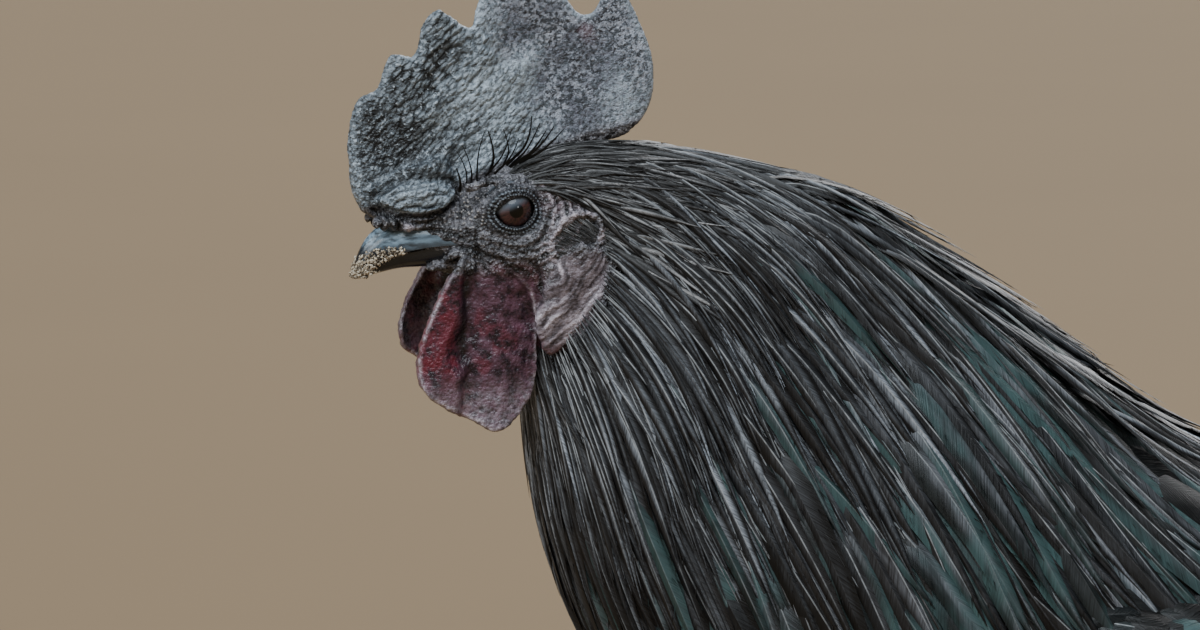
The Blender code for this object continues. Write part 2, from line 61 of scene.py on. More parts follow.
MM = 0.001
DEG = math.pi / 180.0
BOX_MIDDLE_X = 72.3  # where the frame's origin lies along the bird, in its own millimetres
EYE = np.array((-215.0, 0.0, 385.0))
SIDES = (("left", 1.0), ("right", -1.0))  # what turns a left piece's y into each side's
DENSITY = 1.0  # share of the feathers that are laid

# The body's sections: x and z on the back, x and z on the underside, half width, and how much
# wider the lower half is than the upper. The last two carry on into the tail.
SECTIONS = np.array(
    (
        (-244, 381, -238, 370, 5.5, 0.00),  # muzzle
        (-229, 388.5, -225, 365, 10.5, 0.02),  # brow
        (-213, 396.5, -216, 358, 14.5, 0.02),  # eye
        (-197, 400, -211.5, 347, 16, 0.00),  # ear
        (-178, 399, -209, 331, 20, 0.00),  # nape
        (-153, 394, -206.5, 314, 27, 0.02),
        (-124, 385, -202, 295, 36, 0.04),  # middle of the neck
        (-94, 366, -193, 272, 46, 0.06),
        (-62, 342, -178, 245, 57, 0.08),  # foot of the neck
        (-29, 317, -156, 212, 65, 0.10),  # shoulder
        (2, 302, -126, 185, 69, 0.12),
        (30, 295, -86, 167, 70, 0.14),  # deepest part
        (55, 292, -42, 160, 67, 0.12),
        (78, 292, 0, 163, 61, 0.10),
        (98, 295, 38, 177, 52, 0.08),
        (114, 300, 70, 199, 41, 0.04),
        (127, 306, 96, 230, 29, 0.00),  # tail root
        (142, 316, 121, 262, 19, 0.00),
        (158, 328, 146, 290, 11, 0.00),
    )
)
TAIL_T = 16.0
HEAD_T, REST_T = 4.3, 3.9  # the fine skin ends at the first, the coarse begins at the second

# How deep the plumage lies over the skin at each section.
COAT = np.array((0, 0, 0, 0.3, 2.5, 5, 7, 8, 9, 10, 10, 10, 10, 9, 8, 7, 5, 3, 2), float)

COMB = (
    (-34.5, -3), (-40, 2), (-42, 14), (-41, 23), (-38.7, 29), (-34, 31.6), (-31.7, 38.6),
    (-29.3, 41), (-24, 40.2), (-21.6, 48.5), (-18, 52.6), (-14.4, 50.3), (-8.8, 47.4), (-6.4, 54.5),
    (-1, 67), (4, 73), (10, 67.5), (16.5, 57), (20.8, 50.9), (25.2, 50.8), (29, 56.6), (32.6, 60.2),
    (35, 54), (37.8, 48), (41.4, 38), (40.8, 26.6), (35.4, 19), (26, 15.4), (18, 12), (4, 7),
    (-12, 0), (-26, -5.5),
)  # fmt: skip
COMB_HUB = (6.0, 16.0)
COMB_EDGE, COMB_ROOT = 1.6, 5.2  # half its thickness
COMB_LEAN = 42.0 * DEG  # how far its pebbles lean up from level
COMB_FOOT = ((-42, -34, -12, 4, 18, 26, 41), (-3, 0, 5, 12, 16, 18, 21))  # x, z where it starts
WATTLE = (
    (-14.5, -13), (-21, -24.5), (-25.4, -37), (-25, -46.5), (-19.5, -52), (-11, -56), (-5, -58.8),
    (1.6, -54.6), (5.8, -46.5), (6.6, -34), (5.6, -23), (0, -16), (-7.5, -13.5),
)  # fmt: skip
WATTLE_HUB, WATTLE_TOP_Z, WATTLE_HEIGHT = (-9.0, -34.0), -13.0, 46.0
RIGHT_WATTLE_DROP = 0.75
EARLOBE = (
    (16, -9), (11.5, -13.8), (7.6, -21), (6, -31), (8.7, -38.8), (14.5, -36), (20, -29),
    (24, -17.5), (22.5, -11),
)  # fmt: skip
EARLOBE_HUB = (14.5, -22.5)
# The ear's oval: its middle, its half length and half width, and its tilt.
EAR, EAR_SIZE, EAR_TILT = (16.5, -7.4), (6.6, 3.9), 35.0 * DEG
LID_OPENING = (
    (-5, -0.6), (-3.4, 1.7), (-0.6, 3.3), (2.4, 3.4), (4.7, 2), (5.3, -0.2), (4.2, -2.6),
    (1.6, -4.3), (-1.4, -4.2), (-3.8, -2.8),
)  # fmt: skip
LID_MIDDLE, LID_STRETCH = np.array((0.2, -0.4)), 1.25
# Folds round the eye: size as a share of the opening's, height over the eyeball, and radius.
LID_FOLDS = ((1.12, 0.5, 0.7), (1.42, 0.5, 1.35), (1.65, -0.3, 1.5))
SOCKET_DEPTH = 2.3
# The bare face: feathers grow outside it.
BARE_FACE = (
    (-14, 9), (-8, 9.4), (-4, 8.6), (0.4, 6.8), (4.5, 5), (9, 3.6), (15.8, 2.6), (21.5, 0.5),
    (23, -6), (22.8, -14), (20.8, -21), (16.2, -29), (11.4, -35.5), (8, -37.2), (3, -37),
    (-10, -46), (-30, -36), (-44, -10), (-40, 6), (-24, 10),
)  # fmt: skip
BARE_FACE_HUB = (2.0, -14.0)
FACE_T = 4.6  # the section by which the bare face has ended

# The pad over the nostril: its middle, its half length and half height, and its slope.
PAD, PAD_SIZE, PAD_SLOPE = (-24.4, 3.4), (10.4, 4.1), 0.05
NOSTRIL = (-27.4, -4.4)

# Egg-shaped swellings of the left cheek: middle, radii and tilt in degrees.
HEAD_EGGS = (
    ((-24.4, -5.3, 3.3), (10.4, 4.0, 4.3), 3.0),  # the pad over the nostril
    ((-22.0, -3.0, 8.2), (9.5, 3.4, 5.6), 12.0),  # the slope from it up to the comb
    ((-24.4, -4.6, -1.7), (12.0, 4.2, 3.9), 6.0),  # the cheek below it
    ((-27.4, -8.2, -4.4), (1.7, 1.5, 1.3), 0.0),  # the nostril's lid
    ((-31.6, -5.6, -2.6), (5.0, 3.6, 2.7), 12.0),  # the knobs before it
)
# Bristles on the brow: x and z of the root and of the tip, and how far the middle is bowed back.
BRISTLES = np.array(
    (
        (-13.6, 4.6, -14.9, 11.2, 0.3),
        (-12, 5.6, -14.8, 15.6, 1),
        (-10.6, 6, -13.2, 17, 0.8),
        (-9, 7.4, -7.3, 20.6, -0.9),
        (-5.2, 9.4, -6.4, 21, 0.9),
        (-6.6, 8.6, 0, 20.9, 1.1),
        (-1.2, 11, -2.2, 21.2, 0.9),
        (-4.2, 9, 2, 18.6, 0.9),
        (-0.4, 11, 5.5, 24.4, 1.7),
        (0.2, 10.6, 7.8, 22.6, 0.8),
        (1.6, 11, 9.4, 20.4, 0.6),
        (0.4, 10.6, 11.6, 21.5, 1.3),
        (3, 11.4, 14.2, 20.6, 0.8),
    )
)
BRISTLE_DEPTH = ((4.0, 8.0, 11.0), (8.6, 9.2, 6.5))  # z of a root, and how far out it starts
BRISTLE_REACH = 10.4  # how far out it rises

# Rolls of skin on the left cheek: radii at both ends, then points along them.
HEAD_ROLLS = (
    ((1.2, 1.7), (-33.5, -3.6, -3.8), (-28, -5.2, -4.2), (-21, -7, -5.2),
     (-14.5, -8.8, -7.2), (-10.8, -9.8, -10.4), (-11.8, -9.2, -13.6)),  # over the bill's root
    ((1.2, 1.5), (-22, -4.8, -15.8), (-15.5, -7.6, -14.6), (-12.4, -9.2, -16.5),
     (-11.8, -9.4, -21)),  # under the lower bill
    ((1, 1.2), (-18, -9.2, -13.6), (-14.4, -10.6, -11.2), (-11.9, -11.2, -13.4),
     (-11.2, -11.2, -17.4), (-12.6, -10.8, -22)),  # the hook that joins bill and wattle
    ((1.3, 0.9), (-13, -9.6, 5.4), (-9, -10.6, 6.6), (-5, -10.6, 7.4),
     (-1.5, -9.6, 7.4)),  # brow
    ((1.2, 1.6), (-10, -10.4, -8), (-2, -13, -11.6), (6, -14, -10.4)),  # cheek
)  # fmt: skip
# Lines on the face: half width, height (a groove is negative), and points along them.
FACE_LINES = (
    (0.6, -1.5, (-36, -0.2), (-31, -0.9), (-25.7, -1.8), (-19.6, -1.1), (-15.2, 1.4),
     (-13.2, 4.2), (-14, 7.4)),
    (0.5, -0.6, (-36, 3.2), (-32, 5.6), (-27, 8), (-20, 8.4), (-14, 7.4)),
    (0.5, 0.6, (-25.5, -4.6), (-21, -4.4), (-17.5, -2.6), (-14.5, 0.4)),
    (0.4, -0.8, (-26, -3.4), (-21.5, -3.2), (-18, -1.6)),
    (0.4, -1.2, (-35.6, -1), (-34.8, -3), (-34.9, -5)),
    (0.4, -1.2, (-33.5, -1.2), (-32.5, -3.2), (-32.5, -5.4)),
    (0.4, -1.2, (-31.4, -1.6), (-30.1, -3.2), (-29.8, -5.2)),
    (0.4, -1, (-29.4, -2), (-28, -2.7), (-26.4, -2.9)),
    (0.8, 1, (-36.5, 5.2), (-32, 7.8), (-28, 10.4), (-22, 11.4)),
    (0.6, 0.8, (-33.4, 2.6), (-29, 0.6), (-24, -0.2), (-19, 1), (-15.6, 4)),
    (0.3, -0.6, (-32.6, 3.8), (-29, 5.4), (-24.6, 5.9), (-20.4, 6.2)),
    (0.3, -0.6, (-31.4, 1.8), (-28, 3.2), (-24.2, 3), (-20.6, 4.2), (-17.4, 4)),
    (0.3, -0.6, (-29.4, 0.8), (-25.6, 1.2), (-22.4, 0.6), (-18.4, 2.2)),
    (0.3, -0.5, (-22.4, 5.4), (-18.6, 5), (-16.2, 3.2)),
    (0.6, -0.9, (-23.5, -5.2), (-18.5, -5.6), (-14.5, -6.6), (-10.5, -9.2), (-7, -12.4)),
    (0.6, -0.7, (-14, -9.8), (-11, -10.2), (-8.2, -13), (-7.6, -16)),
    (0.5, -0.5, (-12, -6), (-6, -9.6), (0, -11), (5, -9.6), (8.4, -5.6)),
    (0.5, 0.5, (-11, -4.6), (-6, -7.8), (0, -9.2), (5, -7.8), (8.6, -3)),
    (0.5, -0.5, (8, -6), (9.6, -1), (13, 2.4), (19, 2.6)),
    (0.5, 0.4, (6.4, -12.8), (9.4, -16), (10.2, -20), (8, -26)),
    (0.6, -0.6, (4, -14), (6.6, -17), (6.6, -22), (5, -27)),
    (0.5, -0.5, (-4, -12.6), (-1, -15.2), (3, -16.4)),
)  # fmt: skip

# Bill rows: x, lower edge, upper edge, half width.
UPPER_BILL = (
    (-228.5, 375.6, 380, 9.4),
    (-236, 375.2, 383, 8.4),
    (-243, 373.8, 382.6, 6.9),
    (-248.5, 371.4, 380.2, 5.2),
    (-252.3, 368.8, 376.6, 3.6),
    (-254.6, 367, 372.2, 2),
    (-255.6, 366.4, 368.2, 0.8),
)
LOWER_BILL = (
    (-228.5, 369.6, 374.9, 8.4),
    (-236, 369.2, 374.5, 7.2),
    (-243, 368.9, 373.1, 5.5),
    (-248, 368, 370.8, 3.9),
    (-251.6, 367.2, 368.6, 2),
)
BILL_PALE_X = (-233.0, -247.0)  # the painted highlight on the horn grows from the first to the second
BILL_DARK_Z = (377.5, 373.5)  # and painted shade darkens it from the first down to the second
EYE_RADIUS, EYE_CENTRE_Y = 7.2, 8.3

HIP, KNEE, CALF = (-80.0, -34.0, 210.0), (-62.0, -39.0, 186.0), (-33.0, -40.0, 150.0)
HOCK, FOOT = (2.0, -38.0, 112.0), (-38.0, -38.0, 12.0)
HOCK_R, PALM_R = 8.8, 8.5
THIGH_PATH = (HIP, KNEE, CALF, HOCK, (-9.0, -38.0, 84.0))
THIGH_RADII = ((20.0,), (33.0,), (24.0,), (HOCK_R,), (6.0,))
TOES = (  # name, heading from straight ahead in degrees, length, radius
    ("inner", -30.0, 46.0, 4.5),
    ("middle", 3.0, 61.0, 5.0),
    ("outer", 35.0, 49.0, 4.4),
    ("hind", 166.0, 27.0, 3.9),
)

THROAT_Z = (215.0, 280.0)  # the vanes' painted highlights and shafts fade below the first and are full above the second
WING_FIRST_T, WING_LAST_T = 8.9, 15.4
WING_TOP_DEG, WING_FOOT_DEG, WING_DEPTH = 50.0, 116.0, 10.0

TAIL_ROOT, FAN_FEATHERS, FAN_LENGTH = (112.0, 270.0), 7, 178.0
FAN_FIRST_DEG, FAN_LAST_DEG = 16.0, 80.0
SICKLE_ROOT = (110.0, 284.0)
COVERT_ROOT, COVERTS = (104.0, 279.0), 170
SICKLES = (  # name, first heading, drop in degrees, length, width, y at root, y at tip
    ("main", 84.0, 150.0, 430.0, 27.0, 6.0, 10.0),
    ("second", 72.0, 146.0, 360.0, 24.0, 12.0, 19.0),
    ("third", 58.0, 140.0, 300.0, 22.0, 16.0, 28.0),
    ("fourth", 44.0, 132.0, 240.0, 20.0, 20.0, 36.0),
)


# Curves, noise and the body's surface


def spline(rows, t):
    """Values on a smooth curve through rows at parameter t, which counts rows from 0: each
    stretch is the cubic whose ends take their slopes from the rows on either side, and the
    curve runs on straight past its ends."""
    rows = np.asarray(rows, float)
    asked = np.asarray(t, float)
    t = np.clip(asked, 0.0, len(rows) - 1.0)
    k = np.minimum(t.astype(int), len(rows) - 2)
    u = (t - k)[..., None]
    ahead, behind = np.minimum(k + 2, len(rows) - 1), np.maximum(k - 1, 0)
    p0, p1, p2, p3 = rows[behind], rows[k], rows[k + 1], rows[ahead]
    bend = u * u * (2 * p0 - 5 * p1 + 4 * p2 - p3) + u**3 * (3 * p1 - p0 - 3 * p2 + p3)
    return p1 + 0.5 * (u * (p2 - p0) + bend) + (asked - t)[..., None] * (p2 - p1)


def smooth_line(points, count):
    """Points at even steps of parameter on the smooth curve through points."""
    return spline(points, np.linspace(0.0, len(points) - 1.0, count))


def closed_spline(rows, count):
    """Points on the smooth closed curve through rows."""
    rows = np.asarray(rows, float)
    wrapped = np.vstack((rows[-2:], rows, rows[:3]))
    return spline(wrapped, 2.0 + np.arange(count) * len(rows) / count)


def ease(x, low, high):
    """0 at low, 1 at high, held past both, and an S-shaped change between."""
    u = np.clip((np.asarray(x, float) - low) / (high - low), 0.0, 1.0)
    return u * u * (3.0 - 2.0 * u)


def bump(x, middle, half_width):
    """1 at the middle, fading on both sides."""
    return np.exp(-(((x - middle) / half_width) ** 2))


def unit(v):
    """Vectors at length 1."""
    return v / np.maximum(np.linalg.norm(v, axis=-1, keepdims=True), 1e-9)


def stacked(*parts):
    """Coordinates side by side on a new last axis, each repeated to the shape of them all."""
    return np.stack(np.broadcast_arrays(*parts), axis=-1)


def grid(first, second):
    """Every pair of two parameters: two arrays with a row for each value of the first."""
    return np.meshgrid(first, second, indexing="ij")


def round_turn(count):
    """Angles at even steps round a circle."""
    return np.arange(count) * math.tau / count


def turned(x, z, angle):
    """Distances along a line that leans up from the X axis by an angle, and across it."""
    c, s = np.cos(angle), np.sin(angle)
    return x * c + z * s, z * c - x * s


def spot(x, z, middle, size):
    """1 in the middle of an oval, fading out past its edge."""
    return bump(np.hypot((x - middle[0]) / size[0], (z - middle[1]) / size[1]), 0.0, 1.0)


def hashed(cell, seed):
    """A number from 0 to 1 for each whole-number cell, from its mixed bits."""
    n = (cell[..., 0] * 73856093) ^ (cell[..., 1] * 19349663) ^ (cell[..., 2] * 83492791)
    n = (n ^ (seed * 40503 + 977)) & 0xFFFFFFFF
    n = ((n ^ (n >> 15)) * 2246822519) & 0xFFFFFFFF
    n = ((n ^ (n >> 13)) * 3266489917) & 0xFFFFFFFF
    return (n ^ (n >> 16)) / 4294967296.0


def noise(p, seed=0):
    """Smooth noise from -1 to 1: hashed values at each unit cell's corners, blended across it."""
    low = np.floor(p).astype(np.int64)
    u = p - low
    u = u * u * (3.0 - 2.0 * u)
    total = 0.0
    for corner in product((0, 1), repeat=3):
        share = np.prod(np.where(np.array(corner) == 1, u, 1.0 - u), axis=-1)
        total = total + share * hashed(low + np.array(corner), seed)
    return 2.0 * total - 1.0


def layered_noise(p, seed=0, layers=3):
    """Noise with finer noise on top, each layer twice as fine and half as strong."""
    return sum(noise(p * 2.0**k, seed + k) / 2.0**k for k in range(layers))


def pebbles(p, seed=0):
    """Domes from 0 to 1: one less the squared distance to the nearest of the peaks that lie one
    to a cell."""
    low = np.floor(p).astype(np.int64)
    near = np.full(p.shape[:-1], 9.0)
    for step in product((-1, 0, 1), repeat=3):
        cell = low + np.array(step)
        peak = cell + stacked(*(hashed(cell, seed + k) for k in range(3)))
        near = np.minimum(near, np.linalg.norm(peak - p, axis=-1))
    return 1.0 - np.clip(near, 0.0, 1.0) ** 2


def body(t, angle, proud=0.0):
    """The body's surface: at section t, the point of its oval at an angle from the back, which
    grows towards the left side, pushed out by proud."""
    s = spline(SECTIONS, t)
    back, belly = s[..., 0:2], s[..., 2:4]
    middle, up = (back + belly) / 2, (back - belly) / 2
    half_height = np.linalg.norm(up, axis=-1)
    rise = np.cos(angle) * (1.0 + proud / half_height)
    width = (s[..., 4] + proud) * (1.0 - s[..., 5] * np.cos(angle)) * np.sin(angle)
    xz = middle + up * rise[..., None]
    return stacked(xz[..., 0], -width, xz[..., 1])


def coat_depth(t):
    """How deep the plumage is at section t."""
    return np.interp(t, np.arange(len(COAT)), COAT)


def wing(u, v, proud):
    """The folded left wing's outer face: u runs from shoulder to tip, v from its upper to its
    lower edge. It swells over the body and narrows to both ends."""
    t = WING_FIRST_T + (WING_LAST_T - WING_FIRST_T) * u
    shoulder = np.clip(u / 0.22, 0.0, 1.0) ** 0.6
    point = np.clip((1.0 - u) / 0.75, 0.0, 1.0) ** 0.8
    spread = 0.12 + 0.88 * shoulder * point
    middle = WING_TOP_DEG + (0.5 + 0.05 * u) * (WING_FOOT_DEG - WING_TOP_DEG)
    half = 0.5 * (WING_FOOT_DEG - WING_TOP_DEG) * spread
    angle = (middle + half * (2.0 * v - 1.0)) * DEG
    across = np.sin(np.pi * np.clip(v, 0.02, 0.98)) ** 0.6
    along = np.sin(np.pi * np.clip(u, 0.01, 0.99)) ** 0.4
    return body(t, angle, 0.5 + WING_DEPTH * across * along + proud)


def thigh(a, b, proud):
    """The left thigh and hock: a runs down the leg, b turns round it."""
    path = spline(THIGH_PATH, a)
    ahead = unit(spline(THIGH_PATH, a + 0.02) - spline(THIGH_PATH, a - 0.02))
    out = unit(np.cross(ahead, (0.0, 1.0, 0.0)))
    across = np.cross(ahead, out)
    reach = (spline(THIGH_RADII, a)[..., 0] + proud)[..., None]
    return path + reach * (np.cos(b)[..., None] * out + np.sin(b)[..., None] * across)


def lobe_share(outline, hub, x, z):
    """How far out from the hub towards the outline a point lies: 0 at the hub, 1 on the rim."""
    rim = closed_spline(outline, 400) - np.asarray(hub)
    turn = np.arctan2(rim[:, 1], rim[:, 0])
    order = np.argsort(turn)
    reach = np.interp(
        np.arctan2(z - hub[1], x - hub[0]),
        turn[order],
        np.linalg.norm(rim, axis=1)[order],
        period=math.tau,
    )
    return np.hypot(x - hub[0], z - hub[1]) / reach


def ear_plane(x, z):
    """Distances from the middle of the ear's oval, along it and across it."""
    return turned(x - EAR[0], z - EAR[1], EAR_TILT)


def ear_places(along, across):
    """x and z at distances from the middle of the ear's oval, along it and across it."""
    c, s = math.cos(EAR_TILT), math.sin(EAR_TILT)
    return EAR[0] + along * c - across * s, EAR[1] + along * s + across * c


def lid_gap(x, z):
    """Distance from the middle of the eye's opening, which is longer than it is high."""
    return np.hypot((x - LID_MIDDLE[0]) / LID_STRETCH, z - LID_MIDDLE[1])


def line_gap(x, z, points):
    """Distance in x and z to the nearest place on a smooth line."""
    line = smooth_line(points, 12 * len(points))
    return np.min([np.hypot(x - px, z - pz) for px, pz in line], axis=0)


# Meshes


def in_frame(points):
    """The bird's own millimetres as the frame's metres."""
    return (np.asarray(points, float) - (BOX_MIDDLE_X, 0.0, 0.0)) * MM


def tube_faces(rows, around):
    """Quads between the rows of a closed tube, and triangles to a point at either end; the two
    points follow the rows."""
    ring, step = np.arange(around), (np.arange(around) + 1) % around
    row = np.arange(rows - 1)[:, None] * around
    quads = stacked(row + ring, row + step, row + around + step, row + around + ring)
    start, stop, last = rows * around, rows * around + 1, (rows - 1) * around
    head = stacked(step, ring, start)
    tail = stacked(last + ring, last + step, stop)
    return quads.reshape(-1, 4), np.vstack((head, tail))


class Shell:
    """Points and faces gathered from several closed tubes."""

    def __init__(self):
        self.points, self.quads, self.tris, self.count = [], [], [], 0

    def add(self, rings):
        """A closed tube through rings of shape (rows, around, 3), with its faces outwards."""
        rows, around = rings.shape[:2]
        ends = np.stack((rings[0].mean(axis=0), rings[-1].mean(axis=0)))
        points = np.vstack((rings.reshape(-1, 3), ends))
        quads, tris = tube_faces(rows, around)
        corners = np.vstack((tris, quads[:, :3], quads[:, [0, 2, 3]]))
        a, b, c = (points[corners[:, k]] - points.mean(axis=0) for k in range(3))
        if np.einsum("ij,ij->", a, np.cross(b, c)) < 0.0:
            quads, tris = quads[:, ::-1], tris[:, ::-1]
        self.points.append(points)
        self.quads.append(quads + self.count)
        self.tris.append(tris + self.count)
        self.count += len(points)

    def add_pair(self, rings):
        """The same tube on both sides of the bird."""
        self.add(rings)
        self.add(rings * (1.0, -1.0, 1.0))

    def mesh(self, name):
        """One mesh of all the tubes."""
        return new_mesh(name, np.vstack(self.points), np.vstack(self.quads), np.vstack(self.tris))


def new_mesh(name, points, *face_sets):
    """A mesh in the frame from points in millimetres and arrays of faces."""
    mesh = bpy.data.meshes.new(name)
    mesh.vertices.add(len(points))
    mesh.vertices.foreach_set("co", in_frame(points).astype(np.float32).ravel())
    corners = np.concatenate([faces.ravel() for faces in face_sets])
    sizes = np.concatenate([np.full(len(faces), faces.shape[1]) for faces in face_sets])
    mesh.loops.add(len(corners))
    mesh.loops.foreach_set("vertex_index", corners.astype(np.int32))
    mesh.polygons.add(len(sizes))
    starts = np.concatenate(([0], np.cumsum(sizes)[:-1]))
    mesh.polygons.foreach_set("loop_start", starts.astype(np.int32))
    mesh.update(calc_edges=True)
    mesh.validate()
    return mesh


def stored(items, key, width=1, kind=np.int32):
    """What a mesh's items hold under a key, with a row of the given width for each."""
    flat = np.zeros(len(items) * width, kind)
    items.foreach_get(key, flat)
    return flat.reshape(-1, width)


def set_attribute(mesh, name, values):
    """Stores a number or a vector for each point."""
    values = np.asarray(values, np.float32)
    kind, key = ("FLOAT", "value") if values.ndim == 1 else ("FLOAT_VECTOR", "vector")
    mesh.attributes.new(name, kind, "POINT").data.foreach_set(key, values.ravel())


def set_bake_map(mesh, place):
    """The OFBake map, from a place for each point."""
    layer = mesh.uv_layers.new(name="OFBake")
    corner = stored(mesh.loops, "vertex_index")
    layer.uv.foreach_set("vector", np.asarray(place, np.float32)[corner].ravel())


def place_piece(name, mesh, material, replaces=(), sharp_deg=40.0):
    """Makes the object, shades it smooth but for edges sharper than sharp_deg, and ties it to
    the frame."""
    mesh.materials.clear()
    mesh.materials.append(material)
    mesh.shade_smooth()
    if sharp_deg:
        mesh.set_sharp_from_angle(angle=sharp_deg * DEG)
    mesh.name = name
    piece = bpy.data.objects.new(name, mesh)
    bpy.context.collection.objects.link(piece)
    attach(piece, "root")
    if replaces:
        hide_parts(*replaces)


def remeshed(mesh, size_mm):
    """The union of a mesh's closed shapes, as even quads of about size_mm."""
    source = bpy.data.objects.new("remesh_source", mesh)
    bpy.context.collection.objects.link(source)
    remesh = source.modifiers.new("Even", "REMESH")
    remesh.mode = "VOXEL"
    remesh.voxel_size = size_mm * MM
    depsgraph = bpy.context.evaluated_depsgraph_get()
    made = bpy.data.meshes.new_from_object(source.evaluated_get(depsgraph))
    bpy.data.objects.remove(source, do_unlink=True)
    return made


def own_points(mesh):
    """A mesh's points in the bird's own millimetres."""
    points = stored(mesh.vertices, "co", 3, np.float32).astype(float)
    return points / MM + (BOX_MIDDLE_X, 0.0, 0.0)


def put_points(mesh, points):
    """Moves a mesh's points to places in the bird's own millimetres."""
    mesh.vertices.foreach_set("co", in_frame(points).astype(np.float32).ravel())
    mesh.update()


def smoothed(mesh, points, rounds):
    """Moves each point half way to the mean of its neighbours, rounds times."""
    edges = stored(mesh.edges, "vertices", 2)
    a, b = np.concatenate((edges, edges[:, ::-1])).T
    count = np.bincount(a, minlength=len(points))[:, None]
    for _ in range(rounds):
        total = [np.bincount(a, points[b, k], len(points)) for k in range(3)]
        points = 0.5 * points + 0.5 * np.stack(total, axis=1) / count
    return points


# Materials


class Paint:
    """A node material, built with one short call for each node."""

    def __init__(self, name, roughness=0.5, **sockets):
        self.material = bpy.data.materials.new(name)
        self.material.use_nodes = True
        self.tree = self.material.node_tree
        self.shader = self.tree.nodes["Principled BSDF"]
        self.shader.inputs["Roughness"].default_value = roughness
        for socket, value in sockets.items():
            self.shader.inputs[socket.replace("_", " ")].default_value = value

    def link(self, source, target):
        """Feeds a socket with a node's output, a number or a colour."""
        if isinstance(source, bpy.types.NodeSocket):
            self.tree.links.new(source, target)
        elif target.type == "RGBA":
            target.default_value = (*source, 1.0)
        else:
            target.default_value = source

    def node(self, kind, *values, output=0, **settings):
        """Adds a node, feeds its inputs in order (None leaves one alone), and gives an output."""
        made = self.tree.nodes.new("ShaderNode" + kind)
        for key, value in settings.items():
            setattr(made, key, value)
        for socket, value in zip(made.inputs, values):
            if value is not None:
                self.link(value, socket)
        return made.outputs[output]

    def calc(self, operation, *values):
        """The outcome of one step of arithmetic."""
        return self.node("Math", *values, operation=operation)

    def times(self, *values):
        """The product of several values."""
        total = values[0]
        for value in values[1:]:
            total = self.calc("MULTIPLY", total, value)
        return total

    def place(self):
        """A point's place in the frame, in metres."""
        return self.node("TexCoord", output=3)

    def attribute(self, name, output=1):
        """The vector that a mesh's points carry, or the number if output is 2."""
        return self.node("Attribute", output=output, attribute_name=name)

    def split(self, vector):
        """A vector's three parts."""
        return self.node("SeparateXYZ", vector).node.outputs

    def join(self, x, y, z):
        """A vector from its three parts."""
        return self.node("CombineXYZ", x, y, z)

    def cells_of(self, vector, sizes_mm, lean_deg=0.0):
        """Coordinates that count cells of three sizes, with the first size's direction leaning
        up from the X axis."""
        sizes = tuple(size * MM for size in sizes_mm)
        turn = (0.0, -lean_deg * DEG, 0.0)
        return self.node("Mapping", vector, None, turn, sizes, vector_type="TEXTURE")

    def rise(self, value, low, high, bottom=0.0, top=1.0):
        """A smooth rise of value from low to high, as bottom to top."""
        return self.node(
            "MapRange", value, low, high, bottom, top, interpolation_type="SMOOTHSTEP"
        )

    def blend(self, factor, a, b):
        """Colour a where the factor is 0, b where it is 1."""
        made = self.tree.nodes.new("ShaderNodeMix")
        made.data_type = "RGBA"
        for socket, value in ((0, factor), (6, a), (7, b)):
            self.link(value, made.inputs[socket])
        return made.outputs[2]

    def grain(self, vector, scale=1.0, detail=3.0, rough=0.55):
        """Cloudy noise from 0 to 1."""
        return self.node("TexNoise", vector, None, scale, detail, rough)

    def clouds(self, parts, scales):
        """Cloudy noise on a vector of three parts, each times its scale."""
        return self.grain(self.join(*(self.times(part, size) for part, size in zip(parts, scales))))

    def domes(self, vector, scale=1.0):
        """Rounded bumps, one to a cell."""
        made = self.tree.nodes.new("ShaderNodeTexVoronoi")
        self.link(vector, made.inputs["Vector"])
        made.inputs["Scale"].default_value = scale
        return self.calc("SUBTRACT", 1.0, made.outputs["Distance"])

    def relief(self, height, distance_mm, strength=1.0, over=None):
        """Fine relief of distance_mm at height 1, on top of another one if there is one."""
        made = self.tree.nodes.new("ShaderNodeBump")
        made.inputs["Strength"].default_value = strength
        made.inputs["Distance"].default_value = distance_mm * MM
        self.link(height, made.inputs["Height"])
        if over is not None:
            self.link(over, made.inputs["Normal"])
        return made.outputs[0]

    def finish(self, colour, roughness=None, normal=None, metallic=None):
        """Feeds the surface's colour and whatever else is given, and gives the material."""
        sockets = ("Base Color", "Roughness", "Normal", "Metallic")
        for socket, value in zip(sockets, (colour, roughness, normal, metallic)):
            if value is not None:
                self.link(value, self.shader.inputs[socket])
        return self.material


def lid_studs(p, place):
    """Studs where waves outwards from the middle of the eye's opening and waves round it add up,
    and how much of a point is lid."""
    x, _, z = p.split(place)
    middle = in_frame(EYE + (LID_MIDDLE[0], 0.0, LID_MIDDLE[1]))
    from_x = p.calc("SUBTRACT", x, float(middle[0]))
    from_z = p.calc("SUBTRACT", z, float(middle[2]))
    gap = p.calc("SQRT", p.calc("ADD", p.times(from_x, from_x, 0.66), p.times(from_z, from_z)))
    spokes = p.calc("SINE", p.times(p.calc("ARCTAN2", from_z, from_x), 40.0))
    circles = p.calc("SINE", p.times(gap, math.tau / (1.1 * MM)))
    studs = p.rise(p.calc("ADD", p.times(spokes, 0.6), circles), -0.2, 1.4)
    lids = p.times(p.rise(gap, 3.6 * MM, 4.3 * MM), p.rise(gap, 7.2 * MM, 5.6 * MM))
    return studs, lids


